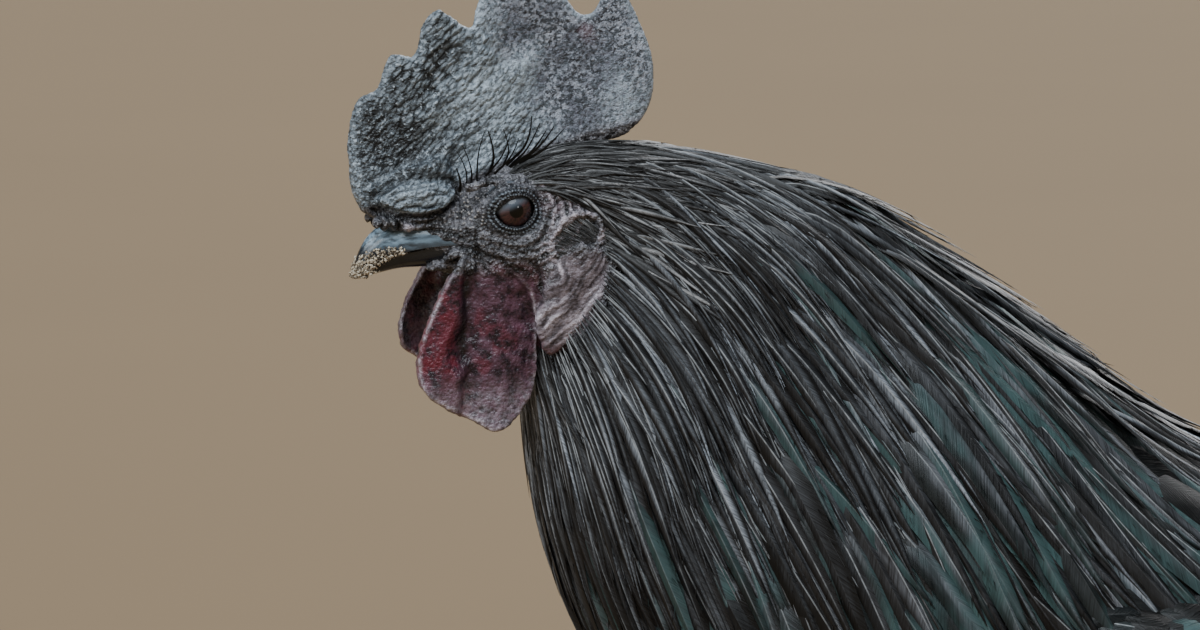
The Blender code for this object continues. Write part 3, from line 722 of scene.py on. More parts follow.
def comb_tones(p, look, place, ripples, salt, speckled):
    """Pebbles in front with painted shade in their hollows, painted highlights on their tops and pale
    specks as painted wet glints, and fine grey speckle behind.
    """
    # comb_dark is painted shade in the pebbles' hollows, comb_pale painted highlight on their tops, and
    # the pale specks are painted wet glints.
    front = p.blend(p.rise(ripples, 0.3, 0.8), look.comb_dark, look.comb_pale)
    front = p.blend(p.rise(salt, 0.58, 0.7, 0.0, 0.8), front, (0.48, 0.54, 0.60))
    fine = p.grain(place, 850.0, 3.0, 0.7)
    patches = p.grain(place, 110.0, 3.0, 0.6)
    grey = p.blend(p.rise(patches, 0.38, 0.62), (0.14, 0.147, 0.19), (0.40, 0.43, 0.51))
    rear = p.blend(p.rise(fine, 0.43, 0.58), (0.018, 0.020, 0.029), grey)
    return p.blend(speckled, front, rear)


def skin_material(look):
    """Pebbled dark skin. Attribute zone holds how much of a point is comb, wattle and earlobe;
    tint how red, how pale and how much painted shade its folds and grooves give it; grade how
    finely speckled, how dark and how beaded it is."""
    p = Paint("dark_skin", 0.4)
    place = p.place()
    comb, wattle, lobe = p.split(p.attribute("zone"))
    red, pale, painted_shade = p.split(p.attribute("tint"))
    speckled, shade, beaded = p.split(p.attribute("grade"))
    mottle = p.grain(place, 300.0, 4.0, 0.65)
    salt = p.grain(place, 900.0, 2.0, 0.7)
    ripples = p.domes(p.cells_of(place, (2.6, 1.6, 1.2), 48.0))
    beads = p.domes(place, 1050.0)
    pores = p.domes(place, 2300.0)
    studs, lids = lid_studs(p, place)

    face = p.blend(p.rise(mottle, 0.35, 0.7), look.face_dark, look.face_pale)
    # Pale bead tops are painted highlight; before the eye the beads also have their own pale brownish
    # colour.
    face = p.blend(p.rise(beads, 0.55, 0.85, 0.0, 0.7), face, (0.40, 0.40, 0.43))
    face = p.blend(p.times(beaded, p.rise(beads, 0.66, 0.86)), face, (0.42, 0.38, 0.34))
    face = p.blend(p.rise(salt, 0.5, 0.36, 0.0, 0.8), face, (0.010, 0.009, 0.011))
    face = p.blend(lids, face, p.blend(studs, (0.012, 0.014, 0.019), (0.19, 0.22, 0.26)))
    flesh = p.blend(p.rise(mottle, 0.35, 0.7), look.wattle_dark, look.wattle_pale)
    lobe_tone = p.blend(p.rise(mottle, 0.3, 0.7), look.lobe_dark, look.lobe_pale)
    colour = p.blend(comb, face, comb_tones(p, look, place, ripples, salt, speckled))
    colour = p.blend(wattle, colour, flesh)
    colour = p.blend(lobe, colour, lobe_tone)
    colour = p.blend(p.times(red, p.rise(mottle, 0.36, 0.6)), colour, look.blood)
    # The pale tint is painted highlight on the comb, the pad, the face's wrinkle crests behind the eye
    # and the earlobe's streaks, sky-blue on the comb; the rest is the skin's own pale rims and spots.
    pallor = p.blend(comb, (0.62, 0.55, 0.62), (0.50, 0.60, 0.70))
    colour = p.blend(p.times(pale, p.rise(salt, 0.34, 0.6, 0.3, 1.0)), colour, pallor)
    # Painted shade in folds and grooves, under the earlobe and in the comb's hollow darkens the skin
    # towards near black; the comb's own dark patches do too.
    dim = p.calc("MAXIMUM", p.times(painted_shade, 0.9), p.times(shade, p.rise(salt, 0.66, 0.5, 0.1, 0.8)))
    colour = p.blend(dim, colour, (0.005, 0.0055, 0.007))

    smooth = p.calc("SUBTRACT", 1.0, p.times(p.calc("MAXIMUM", wattle, lobe), 0.6))
    even = p.rise(speckled, 0.0, 1.0, 1.0, 0.15)
    sparse = p.rise(beaded, 0.0, 1.0, 1.0, 0.3)
    off_comb = p.rise(p.calc("SUBTRACT", comb, beaded), 0.0, 1.0, 1.0, 0.2)
    bumps = p.relief(p.times(ripples, comb, even, sparse), 0.9)
    bumps = p.relief(p.times(beads, smooth, off_comb), 0.55, 1.0, bumps)
    bumps = p.relief(p.times(salt, smooth), 0.6, 1.0, bumps)
    bumps = p.relief(p.times(studs, lids), 0.25, 1.0, bumps)
    bumps = p.relief(pores, 0.12, 0.7, bumps)
    return p.finish(colour, p.rise(mottle, 0.2, 0.8, 0.22, 0.42), bumps)


def feather_material(name, look, dark, pale, gloss=0.34, shafts=0.5, brown=0.5, fade=0.0):
    """Black vanes with a painted highlight along their middles, broken into painted glints along
    each vane. Attribute vane holds millimetres across, millimetres along and the share along; mark
    a number for each vane, its painted green sheen and its brown; edge how near to an edge a point
    lies. shafts is the share of vanes whose shafts show, brown how brown they get, and fade how
    much of the painted highlight and the shafts is lost below the throat."""
    p = Paint(name, gloss, Specular_IOR_Level=0.3)
    across, along, share = p.split(p.attribute("vane"))
    seed, sheen, warm = p.split(p.attribute("mark"))
    # Painted highlight: palest along each vane's middle, stronger on some vanes than on others.
    middle = p.rise(p.attribute("edge", 2), 0.1, 0.8, 1.0, 0.0)
    bright = p.rise(p.calc("FRACT", p.times(seed, 7.3)), 0.4, 1.0, 0.16, 0.9)
    off = p.calc("ABSOLUTE", across)
    slant = p.calc("SUBTRACT", along, p.times(off, 1.7))
    fine = p.clouds((slant, off, seed), (1.6, 0.15, 90.0))
    coarse = p.clouds((slant, off, seed), (0.22, 0.1, 50.0))
    # Painted glints come and go along each vane.
    streak = p.clouds((along, across, seed), (0.045, 0.25, 70.0))
    glint = p.rise(streak, 0.38, 0.62, 0.2, 1.0)
    x, _, z = p.split(p.place())
    low, high = (z_mm * MM for z_mm in THROAT_Z)
    # The painted highlight and the shafts fade below the throat, by fade.
    height = p.rise(p.calc("ADD", z, p.times(x, 0.2)), low, high, 1.0 - fade, 1.0)
    lit = p.times(middle, bright, glint, height, p.rise(fine, 0.3, 0.7, 0.3, 1.0))
    colour = p.blend(lit, dark, pale)
    colour = p.blend(p.times(warm, brown), colour, (0.013, 0.0105, 0.0088))
    shaft = p.times(p.rise(off, 0.10, 0.26, 1.0, 0.0), p.rise(share, 0.6, 0.98, 1.0, 0.0))
    shaft = p.times(shaft, height, p.rise(seed, 1.0 - shafts, 1.02 - shafts, 0.06, 0.9))
    colour = p.blend(p.times(shaft, p.rise(coarse, 0.35, 0.6, 0.35, 1.0)), colour, look.shaft)
    # The green is a painted sheen in a band along the vane and in spots; it also makes the vane partly
    # metallic.
    band = p.times(p.rise(share, 0.2, 0.45), p.rise(share, 0.8, 1.0, 1.0, 0.0))
    gleam = p.times(sheen, band, p.rise(coarse, 0.25, 0.6, 0.4, 1.0), p.rise(fine, 0.2, 0.6, 0.5, 1.0))
    spots = p.clouds((along, across, seed), (0.02, 0.06, 31.0))
    gleam = p.times(gleam, p.rise(spots, 0.42, 0.57, 0.08, 1.0))
    colour = p.blend(gleam, colour, look.green)
    rough = p.rise(fine, 0.2, 0.8, gloss - 0.08, gloss + 0.12)
    bumps = p.relief(fine, 0.30, 0.6)
    return p.finish(colour, rough, bumps, p.times(gleam, 0.4))


def bill_material(look):
    """Polished slate horn with faint lengthwise lines, a painted highlight on its top that grows towards
    the tip, and painted shade down its sides to the cutting edges.
    """
    p = Paint("slate_horn", 0.3, Coat_Weight=0.35, Coat_Roughness=0.12)
    place = p.place()
    lines = p.grain(p.cells_of(place, (9.0, 1.1, 1.1)), 1.0, 4.0)
    x, _, height = p.split(place)
    root, tip = (float(in_frame((x_mm, 0.0, 0.0))[0]) for x_mm in BILL_PALE_X)
    top, edge = (z_mm * MM for z_mm in BILL_DARK_Z)
    # Painted highlight on the horn's top, along its lines and growing towards the tip.
    painted_sheen = p.times(p.rise(lines, 0.3, 0.75), p.rise(x, root, tip, 0.25, 1.0))
    colour = p.blend(painted_sheen, (0.060, 0.078, 0.094), look.bill)
    # Painted shade darkens the sides down to the cutting edges.
    colour = p.blend(p.rise(height, top, edge), colour, (0.013, 0.016, 0.021))
    bumps = p.relief(lines, 0.15, 0.5)
    bumps = p.relief(p.grain(place, 1400.0, 2.0), 0.06, 0.5, bumps)
    return p.finish(colour, p.rise(lines, 0.2, 0.8, 0.18, 0.34), bumps)


def eye_material(look):
    """Attribute iris holds millimetres from the middle of the eye, and the turn round it as a
    cosine and a sine."""
    coat = {"Coat_Weight": 1.0, "Coat_Roughness": 0.02, "Coat_IOR": 1.38}
    p = Paint("wet_eye", 0.2, Specular_IOR_Level=0.1, **coat)
    reach, turn_x, turn_z = p.split(p.attribute("iris"))
    rays = p.clouds((turn_x, turn_z, reach), (6.0, 6.0, 0.5))
    iris = p.blend(p.rise(rays, 0.3, 0.7), look.iris_dark, look.iris_red)
    iris = p.blend(p.rise(reach, 3.7, 4.7), iris, (0.006, 0.004, 0.004))
    iris = p.blend(p.rise(reach, 1.75, 2.1), (0.0008, 0.0008, 0.001), iris)
    # A painted reflection of the sky pales the upper half, over the pupil too.
    upward = p.calc("SUBTRACT", turn_z, p.times(turn_x, 0.4))
    painted_reflection = p.rise(p.times(reach, upward), 0.2, 2.4, 0.0, 0.85)
    return p.finish(p.blend(painted_reflection, iris, (0.115, 0.138, 0.168)))


def horn_material():
    """Dark horn with lengthwise lines, for claws and spurs."""
    p = Paint("dark_horn", 0.35, Coat_Weight=0.2, Coat_Roughness=0.2)
    lines = p.grain(p.cells_of(p.place(), (8.0, 1.4, 3.3)), 1.0, 4.0)
    colour = p.blend(p.rise(lines, 0.3, 0.7), (0.010, 0.010, 0.011), (0.055, 0.052, 0.050))
    return p.finish(colour, None, p.relief(lines, 0.2, 0.6))


def leg_material(look):
    """Slate scales. Attribute plate holds how near the edge of its scale a point lies."""
    p = Paint("slate_scales", 0.42)
    place = p.place()
    plate = p.attribute("plate", 2)
    dust = p.grain(place, 220.0, 4.0)
    colour = p.blend(p.rise(dust, 0.3, 0.7), look.leg_dark, look.leg_pale)
    colour = p.blend(plate, colour, (0.008, 0.0075, 0.0075))
    bumps = p.relief(p.grain(place, 1200.0, 3.0), 0.15, 0.5)
    return p.finish(colour, p.rise(dust, 0.2, 0.8, 0.34, 0.52), bumps)


def sand_material():
    """Dry grains. Attribute seed holds a number for each."""
    p = Paint("dry_sand", 0.85)
    seed = p.attribute("seed", 2)
    colour = p.blend(p.rise(seed, 0.1, 0.7), (0.10, 0.08, 0.06), (0.50, 0.42, 0.31))
    colour = p.blend(p.rise(seed, 0.7, 1.0), colour, (0.78, 0.72, 0.60))
    return p.finish(colour, None, p.relief(p.grain(p.place(), 3000.0, 2.0), 0.1, 0.5))


# Skin


def egg(centre, radii, tilt_deg=0.0, rows=14, around=20):
    """A ball's rows of rings, scaled by radii and tilted up about the Y axis."""
    polar, turn = grid(np.linspace(0.06, math.pi - 0.06, rows), round_turn(around))
    x, y, z = np.cos(polar), np.sin(polar) * np.cos(turn), np.sin(polar) * np.sin(turn)
    x, y, z = x * radii[0], y * radii[1], z * radii[2]
    c, s = math.cos(tilt_deg * DEG), math.sin(tilt_deg * DEG)
    return EYE + np.asarray(centre) + stacked(x * c - z * s, y, x * s + z * c)


def pipe(path, radii, around=12):
    """Round sections of the given radii along a path."""
    path = np.asarray(path, float)
    ahead = unit(np.gradient(path, axis=0))
    across = unit(np.cross(ahead, (0.0, 1.0, 0.02)))
    up = np.cross(across, ahead)
    turn = round_turn(around)[:, None]
    ring = np.cos(turn) * across[:, None] + np.sin(turn) * up[:, None]
    return path[:, None] + ring * np.asarray(radii, float).reshape(-1, 1, 1)


def lobe(outline, hub, surface, count=160, shares=(0.3, 0.6, 0.8, 0.92, 0.98)):
    """A flat lobe as a tube: rings grow from the hub to the rim on one side and shrink back on
    the other. surface(x, z, share) gives y and half thickness."""
    rim = closed_spline(outline, count)
    hub = np.asarray(hub, float)
    rings = []
    for side, order in ((-1.0, shares), (0.0, (1.0,)), (1.0, shares[::-1])):
        for share in order:
            at = hub + (rim - hub) * share
            y, half = surface(at[:, 0], at[:, 1], share)
            rings.append(stacked(at[:, 0], y + side * half, at[:, 1]))
    return np.array(rings) + EYE


def comb_surface(x, z, share):
    """Thick at the root and thin at the rim, and it sways from side to side."""
    height = np.clip((z - 4.0) / 34.0, 0.0, 1.0)
    half = COMB_ROOT + (COMB_EDGE - COMB_ROOT) * height**0.6
    folds = 0.5 * np.sin(x / 5.0 + z / 7.0) * height
    return 1.3 * np.sin(x / 9.0) * height + folds, half * (1.0 - 0.55 * share**6)


def wattle_drop(z):
    """How far down the wattle a height lies: 0 at the top, 1 at the foot."""
    return np.clip((WATTLE_TOP_Z - z) / WATTLE_HEIGHT, 0.0, 1.0)


def wattle_crease(z):
    """x of the fold that parts the wattle's front lobe from its rear."""
    drop = wattle_drop(z)
    return -12.4 - 1.6 * np.sin(drop * 4.4) - 5.0 * drop**3


def wattle_surface(x, z, share):
    """The front lobe rolls outwards and breaks off at the crease; the rear swells gently."""
    drop = wattle_drop(z)
    past = x - wattle_crease(z)
    front = np.clip(-past / 12.0, 0.0, 1.0)
    roll = 4.2 * ease(past, 0.9, -1.6) * (1.0 - front**2) * ease(drop, 1.05, 0.7)
    rear = 2.2 * np.sin(np.pi * np.clip(past / 19.0, 0.0, 1.0))
    rim = 0.7 * bump(share, 0.96, 0.04)
    out = 8.6 + 2.8 * drop + roll + rear
    return -out, (1.2 + rim) * (1.0 - 0.5 * ease(share, 0.97, 1.0))


def earlobe_surface(x, z, share):
    """A thin cushion that leans out to the rear."""
    out = 15.2 + 0.055 * (x - EARLOBE_HUB[0]) + 0.05 * (z - EARLOBE_HUB[1])
    return -out, 2.5 * np.sqrt(1.0 - 0.85 * share**2)


def lid_roll(size, lift):
    """The lid's opening, grown by size, laid on a ball that is larger than the eye by lift."""
    xz = LID_MIDDLE + (closed_spline(LID_OPENING, 48) - LID_MIDDLE) * size
    xz = np.vstack((xz, xz[:1]))
    ball = EYE_RADIUS + lift
    y = -(EYE_CENTRE_Y + np.sqrt(np.maximum(ball**2 - (xz**2).sum(axis=1), 4.0)))
    return EYE + stacked(xz[:, 0], y, xz[:, 1])


def head_shapes():
    """All the closed shapes that make up the bare head and the top of the neck."""
    shell = Shell()
    t, angle = grid(np.linspace(0.0, HEAD_T, 90), round_turn(120))
    loft = body(t, angle, -coat_depth(t))
    x, y, z = np.moveaxis(loft - EYE, -1, 0)
    socket = SOCKET_DEPTH * ease(lid_gap(x, z), 7.4, 4.6)
    loft[..., 1] -= np.sign(y) * socket * (np.abs(y) > 8.0)
    shell.add(loft)
    shell.add(lobe(COMB, COMB_HUB, comb_surface, 260))
    left = lobe(WATTLE, WATTLE_HUB, wattle_surface)
    right = left * (1.0, -1.0, 1.0)
    top = EYE[2] + WATTLE_TOP_Z
    right[..., 2] = top + (right[..., 2] - top) * RIGHT_WATTLE_DROP
    shell.add(left)
    shell.add(right)
    shell.add_pair(lobe(EARLOBE, EARLOBE_HUB, earlobe_surface, 90))
    for centre, radii, tilt in HEAD_EGGS:
        shell.add_pair(egg(centre, radii, tilt))
    for (first, last), *points in HEAD_ROLLS:
        path = EYE + smooth_line(points, 24)
        shell.add_pair(pipe(path, np.linspace(first, last, 24)))
    for size, lift, radius in LID_FOLDS:
        path = lid_roll(size, lift)
        shell.add_pair(pipe(path, np.full(len(path), radius), 10))
    turn = np.linspace(0.0, math.tau, 33)
    x, z = ear_places(EAR_SIZE[0] * 1.15 * np.cos(turn), EAR_SIZE[1] * 1.3 * np.sin(turn))
    ear = EYE + stacked(x, -15.4 - 0.06 * (x - EAR[0]), z)
    shell.add_pair(pipe(ear, np.full(len(ear), 1.2), 8))
    return shell.mesh("head_shapes")


class HeadPoints:
    """The head's points, measured from the middle of the eye, and how much of each is comb, pad
    over the nostril, wattle, earlobe and bare face. comb_at, pad_at and wattle_at are 0 in the
    middle of a part and 1 on its rim; side is the distance from the bird's middle plane."""

    def __init__(self, points):
        self.xyz = points - EYE
        x, y, z = self.xyz.T
        self.side = np.abs(y)
        self.comb_at = lobe_share(COMB, COMB_HUB, x, z)
        comb = ease(z - np.interp(x, *COMB_FOOT), 0.0, 3.0) * (self.comb_at < 1.06)
        height = z - PAD[1] - PAD_SLOPE * (x - PAD[0])
        self.pad_at = np.hypot((x - PAD[0]) / PAD_SIZE[0], height / PAD_SIZE[1])
        self.pad = ease(self.pad_at, 1.06, 0.98) * (self.side > 3.0)
        self.comb = np.maximum(comb * (self.side < 8.0), self.pad)
        # a point of the shorter right wattle counts as the left one's at wattle_z
        drop = np.where(y > 0.0, RIGHT_WATTLE_DROP, 1.0)
        self.wattle_z = WATTLE_TOP_Z + (z - WATTLE_TOP_Z) / drop
        self.wattle_at = lobe_share(WATTLE, WATTLE_HUB, x, self.wattle_z)
        sheet = -wattle_surface(x, self.wattle_z, np.clip(self.wattle_at, 0.0, 1.0))[0]
        on_sheet = ease(self.side, sheet - 4.5, sheet - 2.6)
        self.wattle = (self.wattle_at < 1.08) * on_sheet * ease(-z, 15.0, 19.0)
        within = ease(lobe_share(EARLOBE, EARLOBE_HUB, x, z), 1.08, 0.96)
        below = ease(-z + noise(self.xyz / 2.0, 78), 10.0, 14.5)
        self.lobe = within * ease(self.side, 11.0, 13.0) * below
        self.lobe_tip = self.lobe * ease(-z, 33.0, 37.0)
        self.face = (1.0 - self.comb) * (1.0 - self.wattle) * (1.0 - self.lobe)


# Each of the next four gives a part's move along its normals, redness, paleness and painted shade in its
# folds.


def comb_skin(head):
    """Pebbles that lean back and up, over broad soft folds, with a painted highlight along the rim."""
    x, y, z = head.xyz.T
    behind, front, swell, hollow = comb_places(head)
    along, across = turned(x, z, COMB_LEAN)
    warp = 1.2 * noise(head.xyz * 0.2, 4)
    grain = pebbles(stacked(along / 3.2, y / 3.0, (across + warp) / 1.7), 11)
    ridge = layered_noise(stacked(along / 15.0, y / 12.0, across / 5.5), 31, 2)
    move = (grain - 0.55 + 1.1 * ridge) * (1.0 - 0.85 * behind)
    move = move * (1.0 - 0.5 * front) * (1.0 + 0.3 * head.pad)
    move = move * (0.4 + 0.6 * ease(head.comb_at, 1.0, 0.88)) + 0.9 * swell - 0.7 * hollow
    # The rim, the band over the swell, the pad and the patch over it are painted highlights; the comb
    # also pales behind its front, and the spot at the rear is its own pale patch.
    pale = 0.45 * bump(head.comb_at, 0.98, 0.035) + 0.9 * swell
    pale += 0.5 * ease(head.pad_at, 1.1, 0.4) * (head.side > 3.0)
    pale += 0.7 * ease(x, -17.0, -6.0) * (1.0 - 0.85 * behind)
    pale += 0.6 * spot(x, z, (33.0, 27.0), (6.0, 8.0)) + 0.3 * spot(x, z, (-25.0, 8.0), (13.0, 8.0))
    return move, 0.5 * spot(x, z, (23.0, 45.5), (2.6, 2.6)), pale, 0.0


def wattle_skin(head):
    """Crosswise crinkles and veins, a beaded pale rim, and red on the front lobe."""
    x, y, z = head.xyz.T
    crinkle = pebbles(stacked(x / 1.8, y / 1.8, z / 1.3), 53)
    veins = np.abs(layered_noise(head.xyz / 6.0, 57, 2))
    beading = bump(head.wattle_at, 0.97, 0.03) * pebbles(head.xyz / 1.6, 59)
    move = 0.3 * (crinkle - 0.6) - 0.6 * veins + 0.5 * beading + 0.15
    past = x - wattle_crease(head.wattle_z)
    front = ease(past, 0.5, -3.0) * ease(-z, 50.0, 38.0) * ease(-z, 15.0, 24.0)
    red = (0.15 + 0.75 * front) * np.where(y > 0.0, 0.4, 1.0)
    red += 0.5 * ease(noise(head.xyz / 4.5, 71), 0.25, 0.5)
    patchy = 0.25 + 0.75 * ease(noise(head.xyz / 3.0, 77), -0.4, 0.4)
    rim = bump(head.wattle_at, 0.97, 0.02) * patchy
    # The far wattle is painted paler to lift it from the shade between the wattles.
    pale = 0.7 * rim + 0.24 * ease(-z, 42.0, 52.0) + 0.16 * (y > 0.0)
    # Painted shade in the crease behind the front lobe.
    painted_shade = bump(past, 0.6, 1.3) * ease(-z, 47.0, 36.0)
    return move, red, pale * (1.0 - head.lobe_tip), painted_shade


def earlobe_skin(head):
    """Fine streaks down the lobe over wandering folds, pale but for the red tip."""
    x, y, z = head.xyz.T
    along, across = turned(x, z, 62.0 * DEG + 0.02 * (z + 22.0))
    across = across + 2.2 * noise(head.xyz / 6.5, 65)
    streaks = layered_noise(stacked(along / 6.0, y / 8.0, across), 61, 3)
    folds = noise(stacked(along / 11.0, y / 9.0, across / 3.4), 63)
    # The pale streaks are partly the lobe's own colour and partly painted highlight, and painted shade
    # lies between them.
    pale = ease(streaks + 0.5 * folds, -0.4, 0.6) * ease(noise(head.xyz / 5.0, 73), -0.6, 0.2)
    red, streak_shade = 0.6 * ease(-z, 34.0, 38.0), 0.7 * ease(-streaks, 0.1, 0.7)
    return 0.5 * streaks + 0.35 * folds, red, pale * (1.0 - head.lobe_tip), streak_shade


def face_skin(head):
    """Pebbles and wrinkles that run round the eye, with red on the cheek and behind the eye."""
    x, _, z = head.xyz.T
    gap = lid_gap(x, z)
    waves = np.sin(gap * 3.2 + 2.2 * noise(head.xyz * 0.35, 7))
    rings = waves * ease(gap, 7.5, 8.5) * ease(gap, 20.0, 12.0)
    move = 0.5 * (pebbles(head.xyz / 1.35, 41) - 0.6) + 0.22 * rings
    move = move + 0.35 * layered_noise(head.xyz / 4.0, 43, 2)
    move *= 0.15 + 0.85 * ease(gap, 6.5, 8.0)
    cheek = ease(head.side, 5.0, 8.0) * ease(-z, 12.0, 17.0) * ease(-z, 27.0, 22.0)
    red = 0.6 * cheek * ease(x, -12.0, -4.0) * ease(x, 10.0, 5.0)
    red += 0.35 * bump(x, 12.0, 5.0) * bump(z, 2.0, 3.5)
    along, across = ear_plane(x, z)
    rim = bump(np.hypot(along / EAR_SIZE[0], across / EAR_SIZE[1]), 1.3, 0.22) * (head.side > 11.0)
    # Painted highlight on the crests of the wrinkles behind the eye; the ring round the ear is the skin's
    # own pale.
    pale = 0.6 * ease(rings, 0.1, 0.9) * ease(x, 4.0, 9.0)
    pale += 0.7 * rim * ease(noise(head.xyz / 2.0, 75), -0.4, 0.3)
    # The skin below the earlobe and behind the wattle's top is painted dark as shade.
    return move, red, pale, 0.9 * ease(-z, 24.0, 28.0) * ease(x, 0.0, 5.0)


def comb_places(head):
    """How far a point of the comb lies behind, in front, on its swelling and in its hollow."""
    x, _, z = head.xyz.T
    behind = ease(x + 0.5 * (z - 30.0) + 4.0 * noise(head.xyz * 0.12, 5), -4.0, 12.0)
    front = ease(x, -19.0, -30.0)
    swell = bump(z - 0.55 * x, 33.5, 4.5) * ease(x, -24.0, -14.0) * ease(x, 14.0, 4.0)
    hollow = spot(x, z, (-28.0, 15.0), (10.0, 7.0))
    return behind * (1.0 - head.pad), front, swell, hollow * (1.0 - head.pad)


def face_lines(head):
    """The height of the lines on the face, and how deep in a groove each point lies."""
    x, _, z = head.xyz.T
    lines, groove = 0.0, 0.0
    for width, height, *line in FACE_LINES:
        near = bump(line_gap(x, z, line), 0.0, width) * (head.side > 2.5)
        lines = lines + height * near
        groove = np.maximum(groove, near * (height < 0.0))
    return lines, groove


def head_grade(head):
    """How finely speckled, how dark and how beaded each point is."""
    x, _, z = head.xyz.T
    behind, front, _, hollow = comb_places(head)
    # The comb's hollow is darkened as painted shade; the comb also darkens towards its front and in noisy
    # patches.
    dark = hollow + 0.15 * (1.0 - behind) + 0.4 * ease(noise(head.xyz / 7.0, 79), 0.1, 0.6)
    before_eye = head.face * spot(x, z, (-11.0, 0.0), (6.0, 6.0))
    beaded = np.maximum(before_eye, 0.8 * head.comb * front)
    return np.clip(stacked(head.comb * behind, head.comb * dark, beaded), 0.0, 1.0)


def head_relief(points):
    """How far the head's points move along their normals, and the zone, tint and grade of each."""
    head = HeadPoints(points)
    zones = (head.comb, head.wattle, head.lobe, head.face)
    skins = (comb_skin(head), wattle_skin(head), earlobe_skin(head), face_skin(head))
    move, red, pale, painted_shade = (sum(map(np.multiply, zones, parts)) for parts in zip(*skins))
    x, _, z = head.xyz.T
    lines, groove = face_lines(head)
    move = move + (1.0 - head.wattle) * (1.0 - head.lobe) * lines
    pale = pale + 0.8 * spot(x, z, NOSTRIL, (1.4, 1.4))
    # The face's grooves get painted shade.
    painted_shade = painted_shade + (1.0 - head.wattle) * groove
    tint = np.clip(stacked(red, pale, painted_shade), 0.0, 1.0)
    return move, stacked(*zones[:3]), tint, head_grade(head)


def head_skin():
    """The head's fine skin, with its relief, and the zone, tint and grade of each point."""
    mesh = remeshed(head_shapes(), 0.59)
    points = smoothed(mesh, own_points(mesh), 2)
    x, y, z = (points - EYE).T
    opening = lobe_share(LID_OPENING, LID_MIDDLE, x, z)
    inside = ease(opening, 1.04, 0.82) * (np.abs(y) > 8.0)  # sinks behind the eyeball
    points[:, 1] -= np.sign(y) * inside * 5.0
    put_points(mesh, points)
    move, *looks = head_relief(points)
    normals = stored(mesh.vertex_normals, "vector", 3, np.float32).astype(float)
    put_points(mesh, points + normals * (move * (1.0 - inside))[:, None])
    return mesh, looks


def rest_skin():
    """The skin that the plumage hides: lower neck, trunk, folded wings and thighs."""
    shell = Shell()
    t, angle = grid(np.linspace(REST_T, TAIL_T + 0.6, 76), round_turn(72))
    shell.add(body(t, angle, -coat_depth(t) - 0.4))
    a, b = grid(np.linspace(0.0, 3.1, 26), -round_turn(28))
    shell.add_pair(thigh(a, b, -7.0 + 4.0 * ease(a, 2.0, 3.0)))
    u, turn = grid(np.linspace(0.04, 0.96, 40), round_turn(28))
    shell.add_pair(wing(u, 0.5 + 0.46 * np.cos(turn), -9.5 + 5.5 * np.sin(turn)))
    mesh = remeshed(shell.mesh("rest_shapes"), 4.5)
    put_points(mesh, smoothed(mesh, own_points(mesh), 3))
    return mesh


def make_skin(look):
    """One skin from the head's fine mesh and the rest's coarse one, which meet under feathers."""
    head, looks = head_skin()
    points, faces, first = [], [], 0
    for mesh in (head, rest_skin()):
        points.append(own_points(mesh))
        faces.append(stored(mesh.loops, "vertex_index").reshape(-1, 4) + first)
        first += len(mesh.vertices)
    skin = new_mesh("skin", np.vstack(points), np.vstack(faces))
    for name, values in zip(("zone", "tint", "grade"), looks):
        plain = np.zeros((first - len(values), 3))
        set_attribute(skin, name, np.vstack((values, plain)))
    nodes = ["head", "neck", "trunk", "comb"]
    for side in ("left", "right"):
        nodes += [f"wattle_{side}", f"earlobe_{side}", f"thigh_{side}", f"wing_{side}"]
    place_piece("skin", skin, skin_material(look), nodes, None)


# Bill, eyes and legs


def bill_rings(rows, upper, count=60):
    """Half of the bill: flat along the cutting edge, arched on the other side, with a shallow
    groove along each side of the upper half."""
    arch = np.linspace(0.0, math.pi, 33)
    k = np.linspace(0, len(rows) - 1, count)
    x, low, high, half = spline(rows, k).T[..., None]
    across = -half * np.cos(arch)
    share = np.sin(arch) ** 0.8
    z = low + (high - low) * share if upper else high - (high - low) * share
    if upper:
        z = z - 0.45 * bump(np.abs(np.cos(arch)), 0.62, 0.16) * ease(k, 5.6, 4.0)[:, None]
    outer = stacked(x, across, z)
    inset = (0.0, 0.0, 0.35 if upper else -0.35)
    inner = outer[:, [-1, 0]].mean(axis=1, keepdims=True) + inset
    return np.concatenate((outer, inner), axis=1)


def make_bill(look):
    """The two halves of the bill."""
    material = bill_material(look)
    for name, rows, upper in (("upper", UPPER_BILL, True), ("lower", LOWER_BILL, False)):
        shell = Shell()
        shell.add(bill_rings(rows, upper))
        place_piece(f"{name}_bill", shell.mesh(name), material, [f"bill_{name}"], 50.0)


